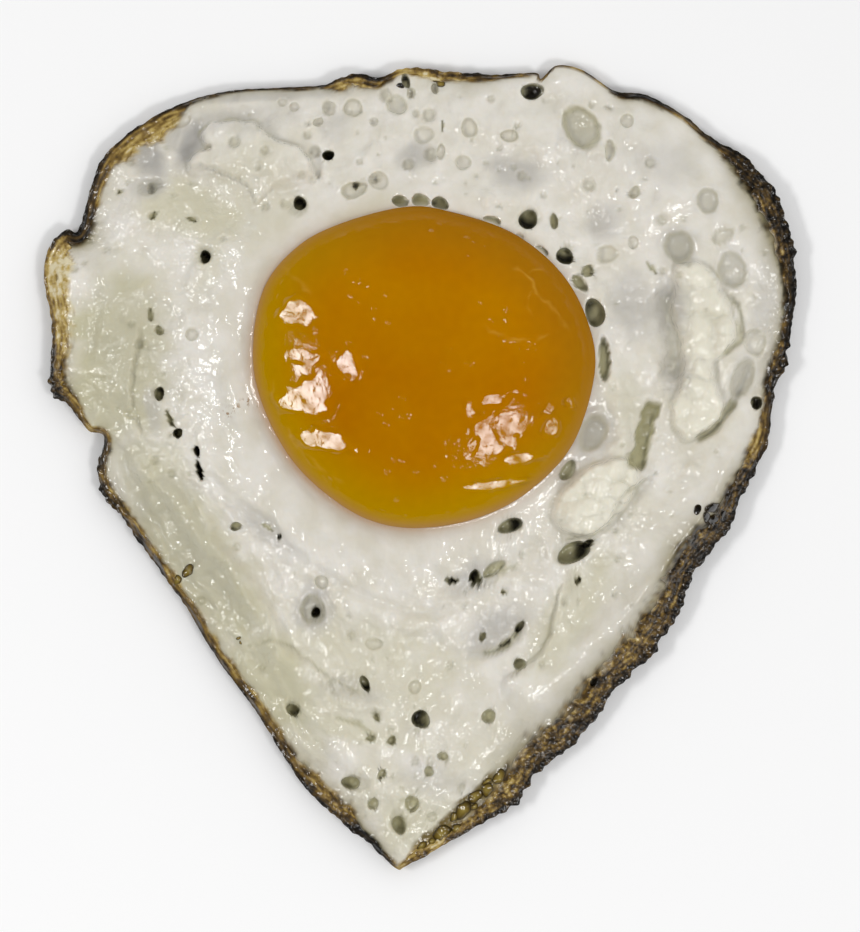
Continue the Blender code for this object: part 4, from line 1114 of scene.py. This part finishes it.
def raw_yolk(tree):
    """Yolk: carotene gives amber that deepens where it is thick, and the wet skin is as glossy as varnish.
    Towards the lower left a veil of set white tints its edge, and creases show as paler veins."""
    place = add(tree, "TexCoord", {}, out="Object")
    labels = ("edge", "veil", "calm", "taut", "vein")
    reads = [add(tree, "Attribute", {}, out="Fac", attribute_name=label) for label in labels]
    edge, veil, calm, taut, vein = reads
    cloud = add(tree, "TexNoise", {"Vector": place, "Scale": CLOUD, "Detail": 3.0})
    wrinkle = add(tree, "TexNoise", {"Vector": place, "Scale": WRINKLE, "Detail": 4.0})
    cells = add(tree, "TexVoronoi", {"Vector": place, "Scale": WRINKLE}, out="Distance")
    near = {"Value": cells, "From Min": 0.36, "From Max": 0.0}
    pimples = add(tree, "MapRange", near, interpolation_type="SMOOTHSTEP")
    patches = add(tree, "TexNoise", {"Vector": place, "Scale": SLACK, "Detail": 0.0})
    chosen = add(tree, "MapRange", {"Value": patches, "From Min": 0.55, "From Max": 0.60})
    specks = add(tree, "Math", {"Value": pimples, "Value_001": chosen}, operation="MULTIPLY")

    colour = add(tree, "ValToRGB", {"Fac": cloud}, stops=((0.3, "#AC6A00"), (0.7, "#B37600")))
    foot = {"Factor_Float": calm, "A_Color": linear("#A26C0C"), "B_Color": linear("#B48900")}
    foot = add(tree, "Mix", foot, out=2, data_type="RGBA")
    for share, tint in ((edge, foot), (veil, linear("#BE905A")), (vein, linear("#CB9A3A"))):
        mixed = {"Factor_Float": share, "A_Color": colour, "B_Color": tint}
        colour = add(tree, "Mix", mixed, out=2, data_type="RGBA")
    skin = add(tree, "Bump", {"Height": wrinkle, "Strength": 1.0, "Distance": 0.00013})
    skin = add(tree, "Bump", {"Height": specks, "Strength": 1.0, "Distance": 0.00025, "Normal": skin})
    return {
        "Base Color": colour,
        "Roughness": 0.5,
        "IOR": 1.36,
        "Specular IOR Level": 0.0,
        "Subsurface Weight": 0.10,
        "Subsurface Radius": (1.0, 0.45, 0.05),
        "Subsurface Scale": 0.0015,
        "Coat Weight": taut,
        "Coat Roughness": 0.04,
        "Coat IOR": 1.55,
        "Coat Normal": skin,
    }


def yolk_dome(x, y):
    """Height of the yolk's upper side: a superellipse between its middle and its widest outline."""
    across, up = x - YOLK_CENTRE[0], y - YOLK_CENTRE[1]
    share = np.hypot(across, up) / reach(yolk_outline, YOLK_CENTRE, np.arctan2(up, across))
    return YOLK_WIDEST_Z + YOLK_RISE * np.clip(1 - share**YOLK_ROUNDNESS, 0, 1) ** (1 / YOLK_ROUNDNESS)


def make_yolk():
    """The upper half is a dome on a disc grid, with closer rows at its edge; the lower is rings to a pole."""
    radius, angle = square_to_disc(YOLK_CELLS)
    width = np.sin(0.5 * np.pi * radius)  # share of the way out, with its rows closer at the edge
    full = reach(yolk_outline, YOLK_CENTRE, angle)
    x = YOLK_CENTRE[0] + full * width * np.cos(angle)
    y = YOLK_CENTRE[1] + full * width * np.sin(angle)
    height = yolk_dome(x, y)
    for cx, cy, wide, long, turn, faces, tilt in FLATS:
        r = spot(x, y, cx, cy, wide, long, turn, 0.14) + 0.22 * noise(x, y, 1.6, 31)
        ahead = (x - cx) * np.cos(np.radians(faces)) + (y - cy) * np.sin(np.radians(faces))
        flat = yolk_dome(np.array(cx), np.array(cy)) - 0.04 - np.tan(np.radians(tilt)) * ahead
        height = height + (flat - height) * smooth((1.35 - r) / 0.45)
    skin = 0.08 * noise(x, y, 7.0, 32) + 0.012 * noise(x, y, 1.5, 33)
    vein = np.zeros(x.shape)
    for depth, half, line in CREASES:
        gap, ends = beside(x, y, line, 2, 2)
        gap = gap + 0.5 * noise(x, y, 2.4, 35) + 0.25 * noise(x, y, 1.0, 36)
        skin += depth * ends * np.exp(-((gap / half) ** 2))
        pale = 3.6 * depth * ends * (0.7 + noise(x, y, 2.0, 34))
        vein = np.maximum(vein, pale * np.exp(-((gap / (0.5 * half)) ** 2)))
    height = height + skin * smooth(4 * (1 - width))
    top = np.stack([x, y, height], axis=-1).reshape(-1, 3)

    edge = top[border_of(YOLK_CELLS)]
    rings = []
    for turn in np.linspace(0, 0.5 * np.pi, YOLK_RINGS + 2)[1:-1]:
        scale = np.cos(turn)
        ring = (*YOLK_CENTRE, 0) + (edge - (*YOLK_CENTRE, 0)) * (scale, scale, 0)
        ring[:, 2] = YOLK_WIDEST_Z - YOLK_DROP * (1 - scale**YOLK_ROUNDNESS) ** (1 / YOLK_ROUNDNESS)
        rings.append(ring)
    pole = (*YOLK_CENTRE, YOLK_WIDEST_Z - YOLK_DROP)
    points, faces = close_below(top, YOLK_CELLS, np.array(rings), pole)

    calm_side = smooth(1.2 * (0.5 - 0.5 * np.cos(angle - np.radians(VEIL_SIDE))))
    inside_edge = full * (1 - width)
    veil = calm_side * (1 - np.clip(inside_edge / 1.6, 0, 1)) ** 1.5
    cloudy = 0.8 + 0.8 * noise(x, y, 1.3, 37) - 0.25 * smooth((x - YOLK_CENTRE[0]) / 8)
    taut = np.clip(0.06 + 0.89 * smooth((inside_edge - 0.8) / 2.8) * cloudy, 0, 1)
    looks = {
        "edge": (smooth((width - 0.55) / 0.45), 1),
        "veil": (veil, 0),
        "calm": (calm_side, 0),
        "taut": (taut, 0.1),
        "vein": (vein, 0),
    }
    lower = np.ones(len(points) - len(top))
    values = {label: np.concatenate([look.ravel(), low * lower]) for label, (look, low) in looks.items()}
    return points, faces, values


yolk = add_piece("soft_yolk", *make_yolk(), new_material("raw_yolk", raw_yolk))
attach(yolk, "root")
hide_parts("yolk")

# ---------------------------------------------------------------------------
# Setting: a pale card floor, two soft boxes at the left and the lower right, even light from all
# round, and a camera that looks straight down.
# ---------------------------------------------------------------------------

FRAME_HEIGHT = 125.8  # how much of the floor is in view, from top to bottom
FLOOR_HALF = 1.5  # metres
BOX_DISTANCE = 0.8  # metres
FRAME_MIDDLE = (1.35, 0.2)
LENS = 240.0
SENSOR = 36.0
SKY_STRENGTH = 0.56
SKY_LEAN = (0.34, 0.28, 0.0)  # how much stronger the sky is towards +X and +Y


def pale_floor(tree):
    """Matt white card."""
    return {"Base Color": linear("#F8F8F8"), "Roughness": 0.9}


def soft_box(name, azimuth, elevation, tall, wide, watts):
    """A rectangular light aimed at the egg, placed by the direction that it shines from."""
    a, e = np.radians(azimuth), np.radians(elevation)
    light = bpy.data.lights.new(name, "AREA")
    light.shape = "RECTANGLE"
    light.size, light.size_y = tall, wide
    light.energy = watts
    lamp = bpy.data.objects.new(name, light)
    towards = np.array([np.cos(a) * np.cos(e), np.sin(a) * np.cos(e), np.sin(e)])
    lamp.location = BOX_DISTANCE * towards
    lamp.rotation_euler = (0, np.pi / 2 - e, a)
    bpy.context.scene.collection.objects.link(lamp)


def studio_sky():
    """Even light from all round, a little stronger from the upper right, that gloss doesn't mirror."""
    world = bpy.data.worlds.new("studio")
    bpy.context.scene.world = world
    world.use_nodes = True
    world.cycles_visibility.glossy = False
    tree = world.node_tree
    towards = add(tree, "TexCoord", {}, out="Generated")
    lean = {"Vector": towards, "Vector_001": SKY_LEAN}
    side = add(tree, "VectorMath", lean, out="Value", operation="DOT_PRODUCT")
    strength = add(tree, "Math", {"Value": side, "Value_001": SKY_STRENGTH}, operation="ADD")
    tree.nodes["Background"].inputs["Color"].default_value = linear("#FFFFFF")
    tree.links.new(strength, tree.nodes["Background"].inputs["Strength"])


floor_mesh = bpy.data.meshes.new("floor")
corners = [(FLOOR_HALF * i, FLOOR_HALF * j, 0) for i, j in ((-1, -1), (1, -1), (1, 1), (-1, 1))]
floor_mesh.from_pydata(corners, [], [(0, 1, 2, 3)])
floor_mesh.materials.append(new_material("pale_floor", pale_floor))
floor = bpy.data.objects.new("floor", floor_mesh)
bpy.context.scene.collection.objects.link(floor)

studio_sky()
soft_box("box_left", 186, 50, 0.14, 0.28, 2.0)
soft_box("box_lower_right", -42, 58, 0.15, 0.22, 1.6)

overhead = bpy.data.cameras.new("overhead")
overhead.lens = LENS
overhead.sensor_width = SENSOR
overhead.clip_start = 0.01
camera = bpy.data.objects.new("overhead", overhead)
camera.location = (FRAME_MIDDLE[0] * MM, FRAME_MIDDLE[1] * MM, LENS / SENSOR * FRAME_HEIGHT * MM)
bpy.context.scene.collection.objects.link(camera)
bpy.context.scene.camera = camera
bpy.context.scene.view_settings.view_transform = "Standard"
